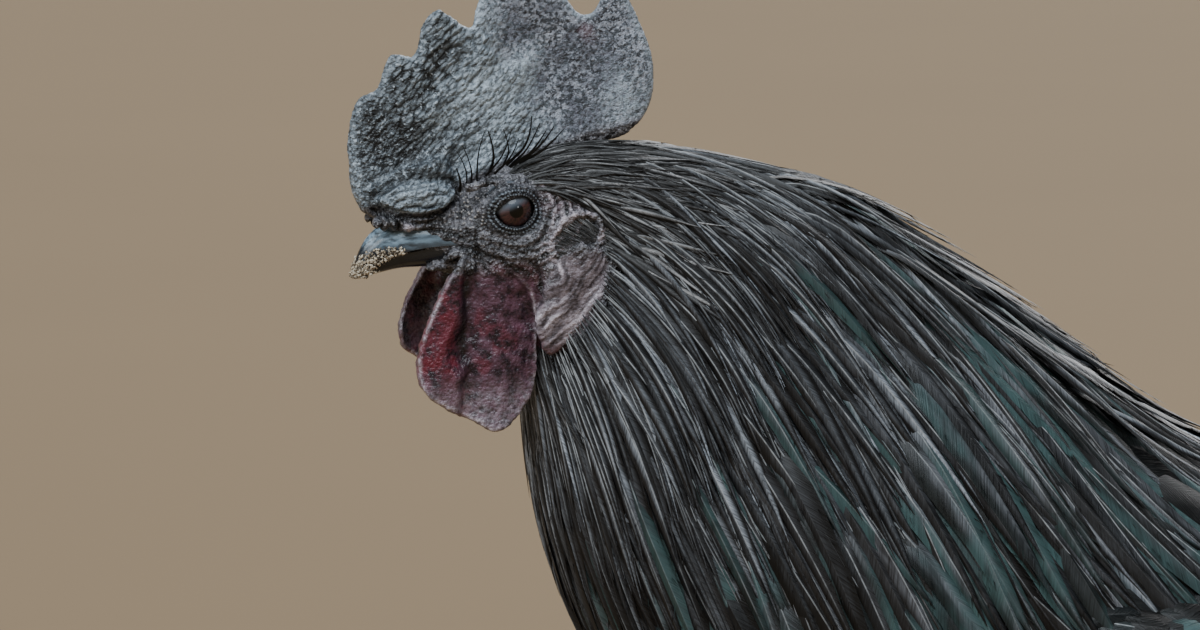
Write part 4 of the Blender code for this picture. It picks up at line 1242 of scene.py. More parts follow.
def make_sand(count=1500, seed=5):
    """Grains stuck to the tip of the bill, each a lumpy eight-sided bead. They lie on the upper
    bill's sides and hang a little below its cutting edge."""
    rng = np.random.default_rng(seed)
    k = 2.1 + 3.9 * rng.random(count) ** 0.8
    x, low, high, half = spline(UPPER_BILL, k).T
    cover = ease(k, 2.0, 3.4)
    height = rng.random(count) * (0.25 + 0.85 * cover) - 0.3 * cover
    bulge = np.sqrt(1.0 - np.clip(height, 0.0, 1.0) ** 2.5) * rng.uniform(0.96, 1.16, count)
    under = np.where(height < 0.0, rng.random(count), 1.0)
    y = half * bulge * under * rng.choice((-1.0, 1.0), count) + rng.normal(0.0, 0.12, count)
    z = np.maximum(low + height * np.minimum(high - low, 6.0), EYE[2] - 18.0)
    centre = stacked(x + rng.normal(0.0, 0.3, count), y, z)
    size = rng.uniform(0.22, 0.5, count)
    corners = np.vstack((np.eye(3), -np.eye(3)))
    lumps = rng.uniform(0.7, 1.3, (count, 6, 1)) * corners + rng.normal(0.0, 0.15, (count, 6, 3))
    points = centre[:, None] + lumps * size[:, None, None]
    tris = ((0, 1, 2), (1, 3, 2), (3, 4, 2), (4, 0, 2), (1, 0, 5), (3, 1, 5), (4, 3, 5), (0, 4, 5))
    faces = (np.array(tris) + 6 * np.arange(count)[:, None, None]).reshape(-1, 3)
    mesh = new_mesh("sand", points.reshape(-1, 3), faces)
    set_attribute(mesh, "seed", np.repeat(rng.random(count), 6))
    place_piece("sand_on_bill", mesh, sand_material(), (), 20.0)


def make_eyes(look):
    """Each eye is a ball turned on its axis, with the clear front swelling out of it."""
    material = eye_material(look)
    polar = np.concatenate((np.linspace(0.02, 0.85, 40), np.linspace(0.9, math.pi - 0.05, 22)))
    polar, turn = grid(polar, round_turn(64))
    reach = EYE_RADIUS * np.sin(polar)
    in_front = polar < math.pi / 2
    swell = 0.85 * np.clip(1.0 - (reach / 4.9) ** 2, 0.0, 1.0) * in_front
    out = EYE_CENTRE_Y - 0.35 + EYE_RADIUS * np.cos(polar) + swell
    iris = stacked(np.where(in_front, reach, EYE_RADIUS), np.cos(turn), np.sin(turn))
    for side, sign in SIDES:
        shell = Shell()
        shell.add(stacked(reach * np.cos(turn), -sign * out, reach * np.sin(turn)) + EYE)
        mesh = shell.mesh(f"eyeball_{side}")
        poles = ((0.0, 0.0, 0.0), (EYE_RADIUS, 0.0, 0.0))
        set_attribute(mesh, "iris", np.vstack((iris.reshape(-1, 3), poles)))
        place_piece(f"eyeball_{side}", mesh, material, [f"eye_{side}"], None)


def scale_relief(along, turn, radius, columns, plate_mm):
    """Overlapping plates in columns down the front, small round scales behind. Gives the lift of
    each point and how near it lies to a gap between plates."""
    front = ease(np.cos(turn), 0.05, 0.35)
    column = turn / math.tau * columns * 2.2
    row = along / plate_mm + 0.5 * (np.floor(column) % 2)
    within = row - np.floor(row)
    seam = ease(np.abs(column - np.round(column)), 0.10, 0.0)
    gap = np.maximum(ease(within, 0.86, 0.98), seam)
    lift = 0.10 * radius * (0.35 + 0.65 * within) * (1.0 - gap)
    dots = pebbles(stacked(along, radius * np.cos(turn), radius * np.sin(turn)) / 1.9, 81)
    lift = front * lift + (1.0 - front) * 0.07 * radius * dots
    return lift, front * gap + (1.0 - front) * ease(dots, 0.45, 0.2)


def add_scaled_limb(shell, marks, path, radii, heading, around, columns, plate_mm):
    """A tube with plates on the side that heading points to, kept above the floor."""
    ahead = unit(np.gradient(path, axis=0))
    front = unit(heading - ahead * np.sum(ahead * heading, axis=1, keepdims=True))
    across = np.cross(ahead, front)
    steps = np.linalg.norm(np.diff(path, axis=0), axis=1)
    turn = (round_turn(around) + math.pi) % math.tau - math.pi
    along, turn = grid(np.concatenate(([0.0], np.cumsum(steps))), turn)
    radii = np.asarray(radii, float)[:, None]
    lift, gap = scale_relief(along, turn, radii, columns, plate_mm)
    turn = turn[..., None]
    ring = np.cos(turn) * front[:, None] + np.sin(turn) * across[:, None]
    rings = path[:, None] + ring * (radii * 0.96 + lift)[..., None]
    rings[..., 2] = np.maximum(rings[..., 2], 0.0)
    shell.add(rings)
    marks.append(np.concatenate((gap.ravel(), (0.5, 0.5))))


def make_legs(look):
    """Scaled shank and toes, then claws and spur, on each side."""
    material, horn = leg_material(look), horn_material()
    coarse = 1
    bend = np.linspace(0.0, 1.0, 22)
    hock, foot = np.array(HOCK), np.array(FOOT)
    sole = foot * (1.0, 1.0, 0.0)
    share = np.linspace(0.0, 0.96, 150 // coarse)
    knots = ((0.0, 0.70), (0.05, 0.98), (0.13, 0.85), (0.25, 0.68), (0.5, 0.63), (0.8, 0.71), (1.0, 0.93))
    shank_radii = HOCK_R * np.interp(share, *zip(*knots))
    shank_radii = np.append(shank_radii, (PALM_R, PALM_R, PALM_R * 0.95, PALM_R * 0.8))
    palm = foot + ((0.0, 0.0, -3.0), (0.0, 0.0, -7.0), (0.0, 0.0, -10.5), (0.0, 0.0, -12.0))
    shank = np.vstack((hock + (foot - hock) * share[:, None], palm))
    for side, sign in SIDES:
        mirror = np.array((1.0, sign, 1.0))
        shell, marks, nails = Shell(), [], Shell()
        forward = np.array((-1.0, 0.0, -0.3))
        add_scaled_limb(shell, marks, shank * mirror, shank_radii, forward, 56 // coarse, 1.0, 4.4)
        for _, heading, length, radius in TOES:
            share = np.linspace(0.0, 1.0, 70 // coarse)
            ahead = np.array((-math.cos(heading * DEG), -math.sin(heading * DEG), 0.0))
            radii = radius * (1.0 - 0.26 * share) * (1.0 + 0.07 * np.cos(share * 4.0 * math.pi))
            path = sole + ahead * (share[:, None] * length)
            path[:, 2] = radii * 0.93
            up = np.array((0.0, 0.0, 1.0))
            add_scaled_limb(shell, marks, path * mirror, radii, up, 36 // coarse, 0.5, 2.9)
            nail = path[-1] - ahead * 1.5 + ahead * (14.0 * bend[:, None])
            nail[:, 2] = radii[-1] + 0.8 + 1.5 * np.sin(bend * math.pi) - (radii[-1] + 0.1) * bend**2
            ring = pipe(nail * mirror, 2.6 * (1.0 - bend**1.4 * 0.93), 14)
            ring[..., 2] = np.maximum(ring[..., 2], 0.05)
            nails.add(ring)
        spur = foot + (hock - foot) * 0.44 + np.array((0.86, 0.42, 0.0)) * 18.0 * bend[:, None]
        spur[:, 2] += 6.0 * bend**2
        nails.add(pipe(spur * mirror, 4.3 * (1.0 - 0.93 * bend**1.2), 16))
        mesh = shell.mesh(f"leg_{side}")
        set_attribute(mesh, "plate", np.concatenate(marks))
        parts = [f"shank_{side}"] + [f"toe_{side}_{toe[0]}" for toe in TOES]
        place_piece(f"leg_{side}", mesh, material, parts, 50.0)
        parts = [f"spur_{side}"] + [f"claw_{side}_{toe[0]}" for toe in TOES]
        place_piece(f"claws_{side}", nails.mesh(f"claws_{side}"), horn, parts, 50.0)


# Plumage


def pointed(share):
    """A hackle's width along it: quick to widen, long to taper, with a fine tip."""
    taper = 1.0 - ((share - 0.42) / 0.58).clip(0.0) ** 1.9
    return np.clip(share / 0.28, 0.0, 1.0) ** 0.7 * np.clip(taper, 0.02, 1.0)


def rounded(share):
    """A body feather's width along it, with a round end."""
    end = ((share - 0.66) / 0.34).clip(0.0, 1.0)
    return np.clip(share / 0.3, 0.05, 1.0) ** 0.8 * np.sqrt(np.clip(1.0 - end**2, 0.003, 1.0))


def blade(share):
    """A tail feather's width along it: wide to the end, which is round."""
    end = ((share - 0.74) / 0.26).clip(0.0, 1.0)
    return np.clip(share / 0.5, 0.15, 1.0) ** 0.7 * np.sqrt(np.clip(1.0 - end**2, 0.01, 1.0))


def sickle(share):
    """A sickle's width along it: even for two thirds, then a long point."""
    return np.clip(share * 6.0 + 0.35, 0.0, 1.0) * np.clip((1.0 - share) * 3.2, 0.02, 1.0) ** 0.6


def body_place(t, angle):
    """Where a root lies on the skin's unwrap: round the body across, along it upwards."""
    return stacked(0.5 + 0.45 * angle / math.pi, 0.01 + 0.97 * t / len(SECTIONS))


def wing_place(u, v):
    """The wing's roots on the same unwrap."""
    angle = (WING_TOP_DEG + (WING_FOOT_DEG - WING_TOP_DEG) * v) * DEG
    return body_place(WING_FIRST_T + (WING_LAST_T - WING_FIRST_T) * u, angle)


def thigh_place(a, b):
    """The thigh's roots, on a strip of their own below the head."""
    return stacked(0.55 + 0.4 * (b % math.tau) / math.tau, 0.004 + 0.03 * a)


BAKE_PATCH = 0.0014  # half the width of a vane's place on the bake map

# Where a vane's lengthwise edges lie across it, from one side to the other.
RIDGED = (-1.0, 0.0, 1.0)
FLAT = (-1.0, -0.5, 0.0, 0.5, 1.0)
BROAD = (-1.0, -0.66, -0.33, 0.0, 0.33, 0.66, 1.0)


class Tract(NamedTuple):
    """A field of feathers on the left side, which the right side mirrors. Lengths are in
    millimetres; length, width and reach are knots of the surface's first parameter."""

    surface: Callable
    first: tuple  # from and to, along the surface
    second: tuple  # from and to, across it
    count: int
    length: tuple
    width: tuple
    shape: Callable = pointed
    stations: int = 12
    sink: float = 8.0  # how deep the roots lie
    rise: float = 0.4  # share of the length by which a vane comes to the surface
    top: float = 0.5  # how high its tip lies over the surface
    swing: float = 0.1  # random turn of its heading, in radians
    sag: float = 0.2  # how strongly it is drawn down
    loose: float = 0.8  # random height
    arch: tuple = (0.35, 0.7)  # how far its edges fall, as a share of half its width
    ply: float = 0.16  # its thickness
    rows: tuple = RIDGED
    green: float = 0.0  # share of the vanes with a painted green sheen
    brown: tuple = (0.0, 1.0)
    barbs: int = 0  # loose barbs to a vane
    barb_mm: float = 3.0
    limit: tuple = ()  # knots that cap the second parameter by the first


def directions(surface, a, b):
    """Two directions in a surface and its outward normal."""
    step = 0.01
    along = (surface(a + step, b, 0.0) - surface(a - step, b, 0.0)) / (2.0 * step)
    around = (surface(a, b + step, 0.0) - surface(a, b - step, 0.0)) / (2.0 * step)
    return along, around, unit(np.cross(around, along))


# Steps which, taken again and again and wrapped round, cover a square evenly.
EVEN_STEPS = (0.7548776662, 0.5698402910)


def scatter(rng, tract):
    """Roots spread evenly over a tract, six times too many, and thinned so that each square
    millimetre gets as many."""
    k = np.arange(tract.count * 6)
    across, around = ((0.5 + k * step) % 1.0 for step in EVEN_STEPS)
    a = tract.first[0] + (tract.first[1] - tract.first[0]) * across
    b = tract.second[0] + (tract.second[1] - tract.second[0]) * around
    if tract.limit:
        inside = b < np.interp(a, *tract.limit)
        a, b = a[inside], b[inside]
    if tract.surface is body:
        x, _, z = (body(a, b) - EYE).T
        feathered = (a > FACE_T) | (lobe_share(BARE_FACE, BARE_FACE_HUB, x, z) > 1.0)
        a, b = a[feathered], b[feathered]
    along, around, _ = directions(tract.surface, a, b)
    area = np.linalg.norm(np.cross(along, around), axis=1)
    pick = rng.random(len(a)) < area / area.sum() * tract.count * DENSITY
    return a[pick], b[pick]


def walk(surface, a, b, length, stations, swing, sag):
    """Follows each vane's line over a surface from its root at (a, b): along the surface's first
    direction, turned by swing, and drawn down more and more by sag."""
    lines = [(a, b)]
    pace = (length / (stations - 1))[:, None]
    for share in np.arange(stations - 1) / (stations - 1):
        along, around, normal = directions(surface, a, b)
        ahead = unit(along)
        across = unit(np.cross(ahead, normal))
        pull = sag * (0.2 + 0.8 * share)
        go = np.cos(swing) - pull * ahead[:, 2]
        turn = np.sin(swing) - pull * across[:, 2]
        step = unit(ahead * go[:, None] + across * turn[:, None]) * pace
        # the step as shares of the surface's two directions
        aa, ab, bb = (along * along).sum(1), (along * around).sum(1), (around * around).sum(1)
        sa, sb = (step * along).sum(1), (step * around).sum(1)
        det = aa * bb - ab * ab
        a, b = a + (sa * bb - sb * ab) / det, b + (sb * aa - sa * ab) / det
        lines.append((a, b))
    return np.moveaxis(np.array(lines), 0, -1)


class Plumes:
    """Closed vanes and barbs gathered into one piece."""

    def __init__(self, seed):
        self.rng = np.random.default_rng(seed)
        self.kept, self.faces, self.count = [], [], 0

    def keep(self, points, vane, mark, bake, edge):
        """Stores the points of a batch, with what they carry."""
        batch = [part.reshape(-1, part.shape[-1]) for part in (points, vane, mark, bake)]
        self.kept.append((*batch, edge.ravel()))
        self.count += len(batch[0])

    def add(self, line, normal, half, place, mark, arch, ply, rows=RIDGED):
        """Each vane is a run of sections along a line of shape (vanes, stations, 3). A section's
        upper side falls away from the shaft by arch x half width x u squared, where u runs from
        -1 to 1; the lower side follows it ply below and meets it at both edges."""
        vanes, stations = half.shape
        ahead = unit(np.gradient(line, axis=1))
        side = unit(np.cross(ahead, normal))
        lift = np.cross(side, ahead)
        m = len(rows)
        u = np.concatenate((rows, rows[-2:0:-1]))
        under = np.concatenate((np.zeros(m), np.ones(m - 2)))
        size = len(u)
        arch = np.asarray(arch, float).reshape(-1, 1, 1)
        down = arch * half[..., None] * u**2 + np.minimum(ply, half * 0.5)[..., None] * under
        points = line[:, :, None] + side[:, :, None] * (half[..., None] * u)[..., None]
        points = points - lift[:, :, None] * down[..., None]
        first = self.count + np.arange(vanes)[:, None, None] * stations * size
        row = first + np.arange(stations - 1)[None, :, None] * size
        i, j = row + np.arange(size), row + (np.arange(size) + 1) % size
        self.faces.append(stacked(i, i + size, j + size, j).reshape(-1, 4))
        end = first[:, 0] + (stations - 1) * size
        for k in range(m - 1):  # strips that close both ends
            corner = [k, k + 1, (size - k - 1) % size, (size - k) % size]
            corner = np.array(list(dict.fromkeys(corner)))
            self.faces.append(first[:, 0] + corner)
            self.faces.append(end + corner[::-1])
        steps = np.linalg.norm(np.diff(line, axis=1), axis=2)
        along = np.concatenate((np.zeros((vanes, 1)), np.cumsum(steps, axis=1)), axis=1)[..., None]
        share = np.linspace(0.0, 1.0, stations)[:, None]
        vane = stacked(half[..., None] * u, along, share)
        patch = stacked(BAKE_PATCH * u, 2.0 * BAKE_PATCH * (share - 0.5))
        bake = np.asarray(place)[:, None, None] + patch
        mark = np.broadcast_to(mark[:, None, None], (vanes, stations, size, 3))
        edge = np.broadcast_to(np.abs(u), (vanes, stations, size))
        self.keep(points, vane, mark, bake, edge)

    def add_barbs(self, line, normal, half, place, mark, each, length, start=0.35):
        """Loose barbs along the outer part of each vane's edges: slivers with four corners."""
        rng = self.rng
        vanes, stations = half.shape
        pick = np.repeat(np.arange(vanes), each)
        count = len(pick)
        k = rng.uniform(start, 0.98, count) * (stations - 1)
        low = np.minimum(k.astype(int), stations - 2)
        u = (k - low)[:, None]
        at = line[pick, low] * (1.0 - u) + line[pick, low + 1] * u
        wide = half[pick, low][:, None] * (1.0 - u) + half[pick, low + 1][:, None] * u
        ahead, up = unit(line[pick, low + 1] - line[pick, low]), normal[pick, low]
        side = unit(np.cross(ahead, up)) * rng.choice((-1.0, 1.0), count)[:, None]
        size = length * rng.uniform(0.4, 1.3, (count, 1))
        root = at + side * wide * 0.7 - up * 0.25 * wide
        tip = root + ahead * size + side * size * 0.36 + up * size * rng.normal(0.0, 0.14, (count, 1))
        corners = (root + ahead * 0.35, root - ahead * 0.35, root - up * 0.22, tip)
        points = np.stack(corners, axis=1)
        # a barb on the other side of its vane has its faces turned
        handed = np.einsum("ij,ij->i", np.cross(side, ahead), up)[:, None, None] > 0.0
        first = self.count + 4 * np.arange(count)[:, None, None]
        faces = np.array(((0, 1, 2), (1, 0, 3), (2, 1, 3), (0, 2, 3)))
        self.faces.append(np.where(handed, first + faces[:, ::-1], first + faces).reshape(-1, 3))
        vane = np.repeat(stacked(wide + 0.5, k[:, None] * 3.0, 0.9), 4, axis=1)
        patch = np.array(((-1, -1), (1, -1), (1, 1), (-1, 1))) * 0.001
        bake = np.asarray(place)[pick][:, None] + patch
        edge = np.full((count, 4), 0.7)
        self.keep(points, vane, np.repeat(mark[pick][:, None], 4, axis=1), bake, edge)

    def marks(self, count, green=0.0, brown=(0.0, 1.0)):
        """A number, a painted sheen and a brownness for each of count vanes."""
        rng = self.rng
        shine = rng.uniform(0.6, 1.0, count) * (rng.random(count) < green)
        return stacked(rng.random(count), shine, rng.uniform(*brown, count))

    def lay(self, tract, sign, place):
        """Lays a tract over its surface on the side that sign tells: 1 for left, -1 for right."""
        rng = self.rng
        a, b = scatter(rng, tract)
        count, mirror = len(a), (1.0, sign, 1.0)
        length = np.interp(a, *tract.length) * rng.uniform(0.85, 1.12, count)
        lean = rng.normal(0.0, tract.swing, count)
        at_a, at_b = walk(tract.surface, a, b, length, tract.stations, lean, tract.sag)
        share = np.linspace(0.0, 1.0, tract.stations)
        height = -tract.sink * (1.0 - ease(share, 0.0, tract.rise)) + tract.top * share
        height = height + rng.normal(0.0, tract.loose, (count, 1)) * ease(share, 0.0, 0.4)
        line = tract.surface(at_a, at_b, height) * mirror
        normal = directions(tract.surface, at_a, at_b)[2] * mirror
        roll = rng.normal(0.0, 0.16, (count, 1, 1))
        normal = unit(normal + roll * np.cross(normal, unit(np.gradient(line, axis=1))))
        width = np.interp(a, *tract.width) * rng.uniform(0.75, 1.15, count)
        half = 0.5 * width[:, None] * tract.shape(share)
        half = half * (1.0 + 0.08 * rng.normal(0.0, 1.0, half.shape) * ease(share, 0.2, 0.5))
        half = np.maximum(half, 0.06)
        at = place(a, b)
        at[:, 0] = 0.5 + (at[:, 0] - 0.5) * sign
        mark = self.marks(count, tract.green, tract.brown)
        arch = rng.uniform(*tract.arch, count)
        self.add(line, normal, half, at, mark, arch, tract.ply, tract.rows)
        return line, normal, half, at, mark

    def piece(self, name, material, slot="plumage", replaces=(), sharp_deg=50.0):
        """Makes the piece from all that was gathered."""
        faces = [
            np.vstack(sets)
            for corners in (3, 4)
            if (sets := [f for f in self.faces if f.shape[1] == corners])
        ]
        points, vane, mark, bake, edge = (np.concatenate(parts) for parts in zip(*self.kept))
        mesh = new_mesh(name, points, *faces)
        for key, values in (("vane", vane), ("mark", mark), ("edge", edge)):
            set_attribute(mesh, key, values)
        set_bake_map(mesh, bake)
        place_piece(name, mesh, material, replaces, sharp_deg)


def lay_all(name, tracts, place, seed, material, fringe=None):
    """One piece for each side of the bird, from several tracts; their barbs join the fringe."""
    for side, sign in SIDES:
        plumes = Plumes(seed + (sign < 0.0))
        for tract in tracts:
            laid = plumes.lay(tract, sign, place)
            if fringe is not None and tract.barbs:
                fringe.add_barbs(*laid, tract.barbs, tract.barb_mm)
        plumes.piece(f"{name}_{side}", material)


ALL_ROUND = (-3 * DEG, 183 * DEG)
CROWN = (
    Tract(
        body, (1.75, 3.9), (6 * DEG, 180 * DEG), 1560,
        ((1.75, 2.4, 3.2, 3.9), (12.0, 18.0, 26.0, 36.0)), ((1.75, 2.6, 3.9), (0.8, 1.2, 2.2)),
        stations=8, sink=0.6, rise=0.3, top=1.0, swing=0.14, sag=0.0, loose=0.5,
        brown=(0.5, 1.0), ply=0.12,
        limit=((1.7, 2.0, 2.9, 3.05, 3.35, 3.45, 3.9), np.array((20, 60, 75, 180, 180, 92, 92)) * DEG),
    ),
)  # fmt: skip
HACKLES_UPPER = (
    Tract(
        body, (3.2, 4.4), ALL_ROUND, 800, ((3.2, 4.4), (40.0, 58.0)),
        ((3.2, 4.4), (2.0, 3.4)), stations=12, sink=0.8, rise=0.08, top=1.4, swing=0.06, sag=0.95,
        loose=0.7, arch=(0.5, 0.95), barbs=3, barb_mm=2.0,
    ),
    Tract(
        body, (4.2, 5.6), ALL_ROUND, 640, ((4.2, 5.6), (74.0, 92.0)),
        ((4.2, 5.6), (3.6, 5.6)), stations=13, sink=5.0, swing=0.07, sag=0.75,
        loose=1.0, arch=(0.5, 0.9), barbs=6, green=0.15,
    ),
    Tract(
        body, (4.4, 8.4), (-3 * DEG, 26 * DEG), 60, ((4.4, 8.4), (56.0, 76.0)),
        ((4.4, 8.4), (2.2, 4.0)), sink=5.0, top=6.5, swing=0.12, sag=0.2, loose=0.8, barbs=5,
    ),
)  # fmt: skip
HACKLES_LOWER = (
    Tract(
        body, (5.4, 7.4), ALL_ROUND, 460, ((5.4, 7.4), (104.0, 112.0)),
        ((5.4, 7.4), (7.0, 8.6)), stations=13, sink=8.0, top=1.0, swing=0.1, sag=0.85,
        loose=1.0, barbs=9, barb_mm=3.6, green=0.5,
    ),
    Tract(
        body, (7.2, 9.4), ALL_ROUND, 360, ((7.2, 9.4), (112.0, 104.0)),
        ((7.2, 9.4), (9.0, 11.0)), stations=13, sink=8.0, top=1.0, swing=0.11, sag=1.0,
        loose=1.0, barbs=9, barb_mm=3.8, green=0.6,
    ),
)  # fmt: skip
BODY = (
    Tract(
        body, (8.2, 15.9), (-2 * DEG, 182 * DEG), 720, ((8.0, 12.0, 16.0), (42.0, 46.0, 40.0)),
        ((8.0, 16.0), (20.0, 15.0)), rounded, 8, sink=7.0, rise=0.5, sag=0.1, arch=(0.15, 0.3),
        ply=0.2, rows=FLAT, brown=(0.0, 0.7), barbs=6, barb_mm=4.5,
    ),
    Tract(
        body, (12.6, 16.4), (96 * DEG, 184 * DEG), 170, ((12.6, 16.4), (52.0, 44.0)),
        ((12.6, 16.4), (11.0, 8.0)), stations=9, sink=4.0, top=7.0, swing=0.22, sag=0.5,
        loose=2.0, barbs=14, barb_mm=6.0,
    ),
    Tract(
        body, (9.4, 13.0), (100 * DEG, 150 * DEG), 130, ((9.4, 13.0), (64.0, 58.0)),
        ((9.4, 13.0), (15.0, 12.0)), stations=9, sink=5.0, rise=0.4, top=9.0, swing=0.16, sag=0.8,
        loose=1.6, arch=(0.2, 0.4), rows=FLAT, brown=(0.0, 0.7), barbs=12, barb_mm=5.0,
    ),
)  # fmt: skip
SADDLE = (
    Tract(
        body, (11.6, 16.4), (-3 * DEG, 74 * DEG), 330, ((11.6, 16.4), (84.0, 96.0)),
        ((11.6, 16.4), (8.5, 7.5)), stations=14, rise=0.35, top=3.0, swing=0.10, sag=1.1,
        loose=1.2, barbs=8, barb_mm=3.4, green=0.3, brown=(0.0, 0.8),
    ),
)  # fmt: skip
THIGH = (
    Tract(
        thigh, (0.6, 2.75), (0.0, math.tau), 480, ((0.9, 2.0, 2.75), (38.0, 30.0, 18.0)),
        ((0.9, 2.75), (14.0, 7.0)), rounded, 7, sink=6.0, rise=0.5, top=2.6, swing=0.13,
        sag=0.15, loose=1.2, arch=(0.2, 0.4), rows=FLAT, brown=(0.0, 0.7), barbs=9, barb_mm=4.5,
    ),
)  # fmt: skip
WING = (
    Tract(
        wing, (0.34, 0.62), (0.04, 0.96), 34, ((0.3, 0.7), (96.0, 84.0)), ((0.3, 0.7), (17.0, 15.0)),
        rounded, 14, sink=6.0, rise=0.3, top=-1.5, swing=0.03, sag=0.02, loose=0.5,
        arch=(0.08, 0.16), ply=0.26, rows=BROAD, green=0.5, brown=(0.0, 0.3),
    ),
    Tract(
        wing, (0.20, 0.36), (0.04, 0.96), 34, ((0.2, 0.4), (58.0, 52.0)), ((0.2, 0.4), (16.0, 15.0)),
        rounded, 11, sink=5.0, top=0.0, swing=0.05, sag=0.03, loose=0.4, arch=(0.1, 0.2),
        ply=0.24, rows=FLAT, green=0.5, brown=(0.0, 0.4), barbs=4,
    ),
    Tract(
        wing, (0.10, 0.28), (0.02, 0.98), 70, ((0.1, 0.3), (34.0, 36.0)), ((0.1, 0.3), (13.0, 14.0)),
        rounded, 9, sink=4.0, top=0.6, swing=0.08, sag=0.05, loose=0.5, arch=(0.15, 0.3),
        ply=0.22, rows=FLAT, green=0.35, brown=(0.0, 0.5), barbs=5,
    ),
    Tract(
        wing, (0.01, 0.16), (0.02, 0.98), 90, ((0.0, 0.2), (22.0, 26.0)), ((0.0, 0.2), (10.0, 12.0)),
        rounded, 8, sink=3.0, top=0.9, swing=0.12, sag=0.08, loose=0.6, arch=(0.2, 0.4),
        ply=0.2, rows=FLAT, green=0.2, brown=(0.0, 0.6), barbs=6,
    ),
)  # fmt: skip


def make_head_feathers(look):
    """Crown feathers that sweep back from above the eye, fine ones over the ear, and bristles."""
    dark = feather_material(
        "crown_black", look, (0.0012, 0.0012, 0.0012), (0.700, 0.700, 0.720), 0.36, 0.0, 0.3
    )
    lay_all("crown_feathers", CROWN, body_place, 21, dark)
    tufts, bristles = Plumes(27), Plumes(28)
    rng = tufts.rng
    for sign in (1.0, -1.0):
        count = 170
        turn, reach = rng.uniform(0.0, math.tau, count), np.sqrt(rng.random(count))
        along = EAR_SIZE[0] * reach * np.cos(turn)
        x, z = ear_places(along, EAR_SIZE[1] * reach * np.sin(turn))
        root = stacked(x - 2.0, -14.9, z + 0.6)
        heading = unit(stacked(1.0, -0.1, -0.55 - 0.05 * along))
        share = np.linspace(0.0, 1.0, 5)[None, :, None]
        length = rng.uniform(3.0, 5.0, (count, 1, 1))
        line = root[:, None] + heading[:, None] * length * share
        line[..., 1] -= 1.5 * np.sin(math.pi * share[..., 0] * 0.6)
        add_hairs(tufts, line + EYE, 0.35, sign, rng)
        root_x, root_z, tip_x, tip_z, bow = BRISTLES.T[..., None]
        share = np.linspace(0.0, 1.0, 10)
        start = np.interp(root_z, *BRISTLE_DEPTH)
        out = start + (BRISTLE_REACH - start) * ease(share, 0.0, 0.4)
        x = root_x + (tip_x - root_x) * share + bow * np.sin(math.pi * share)
        z = root_z + (tip_z - root_z) * share
        add_hairs(bristles, stacked(x, -out, z) + EYE, 0.78, sign, rng)
    black = Paint("bristle_black", 0.5, Specular_IOR_Level=0.3).finish((0.002, 0.002, 0.002))
    tufts.piece("ear_tufts", dark)
    bristles.piece("bristles", black)


def add_hairs(plumes, line, width, sign, rng):
    """Fine tapering hairs along lines on the left cheek, or their mirror image."""
    line = line * (1.0, sign, 1.0)
    count, stations = line.shape[:2]
    normal = np.zeros_like(line) + (0.0, -sign, 0.0)
    half = 0.5 * width * rng.uniform(0.7, 1.2, (count, 1)) * np.linspace(1.0, 0.3, stations)
    t = np.interp(line[:, 0, 0] - EYE[0], (-20.0, 20.0), (1.0, 3.4))
    at = body_place(t, sign * np.interp(line[:, 0, 2] - EYE[2], (-16.0, 12.0), (2.4, 0.4)))
    plumes.add(line, normal, half, at, plumes.marks(count), 0.3, width)


def make_hackles(look):
    """The neck's cape of long pointed feathers."""
    # The upper cape's vanes get stronger painted highlights than the lower cape's.
    upper = feather_material(
        "hackle_bright", look, (0.0070, 0.0072, 0.0080), (0.600, 0.655, 0.740), 0.30, 0.5, 0.6, 0.7
    )
    lower = feather_material(
        "hackle_black", look, (0.0025, 0.0028, 0.0031), (0.400, 0.425, 0.480), 0.32, 0.5, 0.6, 0.7
    )
    fringe = Plumes(35)
    lay_all("upper_hackles", HACKLES_UPPER, body_place, 31, upper, fringe)
    lay_all("lower_hackles", HACKLES_LOWER, body_place, 33, lower, fringe)
    fringe.piece("hackle_barbs", lower)


def make_body_feathers(look):
    """Breast, belly, back, vent and thighs."""
    material = feather_material(
        "body_black", look, (0.002, 0.0024, 0.0027), (0.080, 0.092, 0.098), 0.38, 0.2
    )
    fringe = Plumes(47)
    lay_all("body_feathers", BODY, body_place, 41, material, fringe)
    lay_all("thigh_feathers", THIGH, thigh_place, 43, material, fringe)
    lay_all("saddle_hackles", SADDLE, body_place, 45, material, fringe)
    fringe.piece("body_barbs", material)


def make_wings(look):
    """Quills and three rows of coverts on the folded wings."""
    material = feather_material(
        "wing_black", look, (0.002, 0.0028, 0.0032), (0.070, 0.086, 0.092), 0.30, 0.1
    )
    fringe = Plumes(57)
    lay_all("wing_feathers", WING, wing_place, 51, material, fringe)
    fringe.piece("wing_barbs", material)


def arcs(root, first_deg, drop_deg, length, root_y, tip_y, stations):
    """Lines in nearly upright planes that leave the root at one heading and bend over by
    drop_deg on the way; every argument but root and stations has one value for each line."""
    share = np.linspace(0.0, 1.0, stations)
    turn = (first_deg[:, None] - drop_deg[:, None] * share**1.25) * DEG
    step = (length / (stations - 1))[:, None]
    start = np.zeros((len(first_deg), 1))
    x = root[0] + step * np.hstack((start, np.cumsum(np.cos(turn[:, :-1]), axis=1)))
    z = root[1] + step * np.hstack((start, np.cumsum(np.sin(turn[:, :-1]), axis=1)))
    y = root_y[:, None] + (tip_y - root_y)[:, None] * share
    return stacked(x, -y, z)


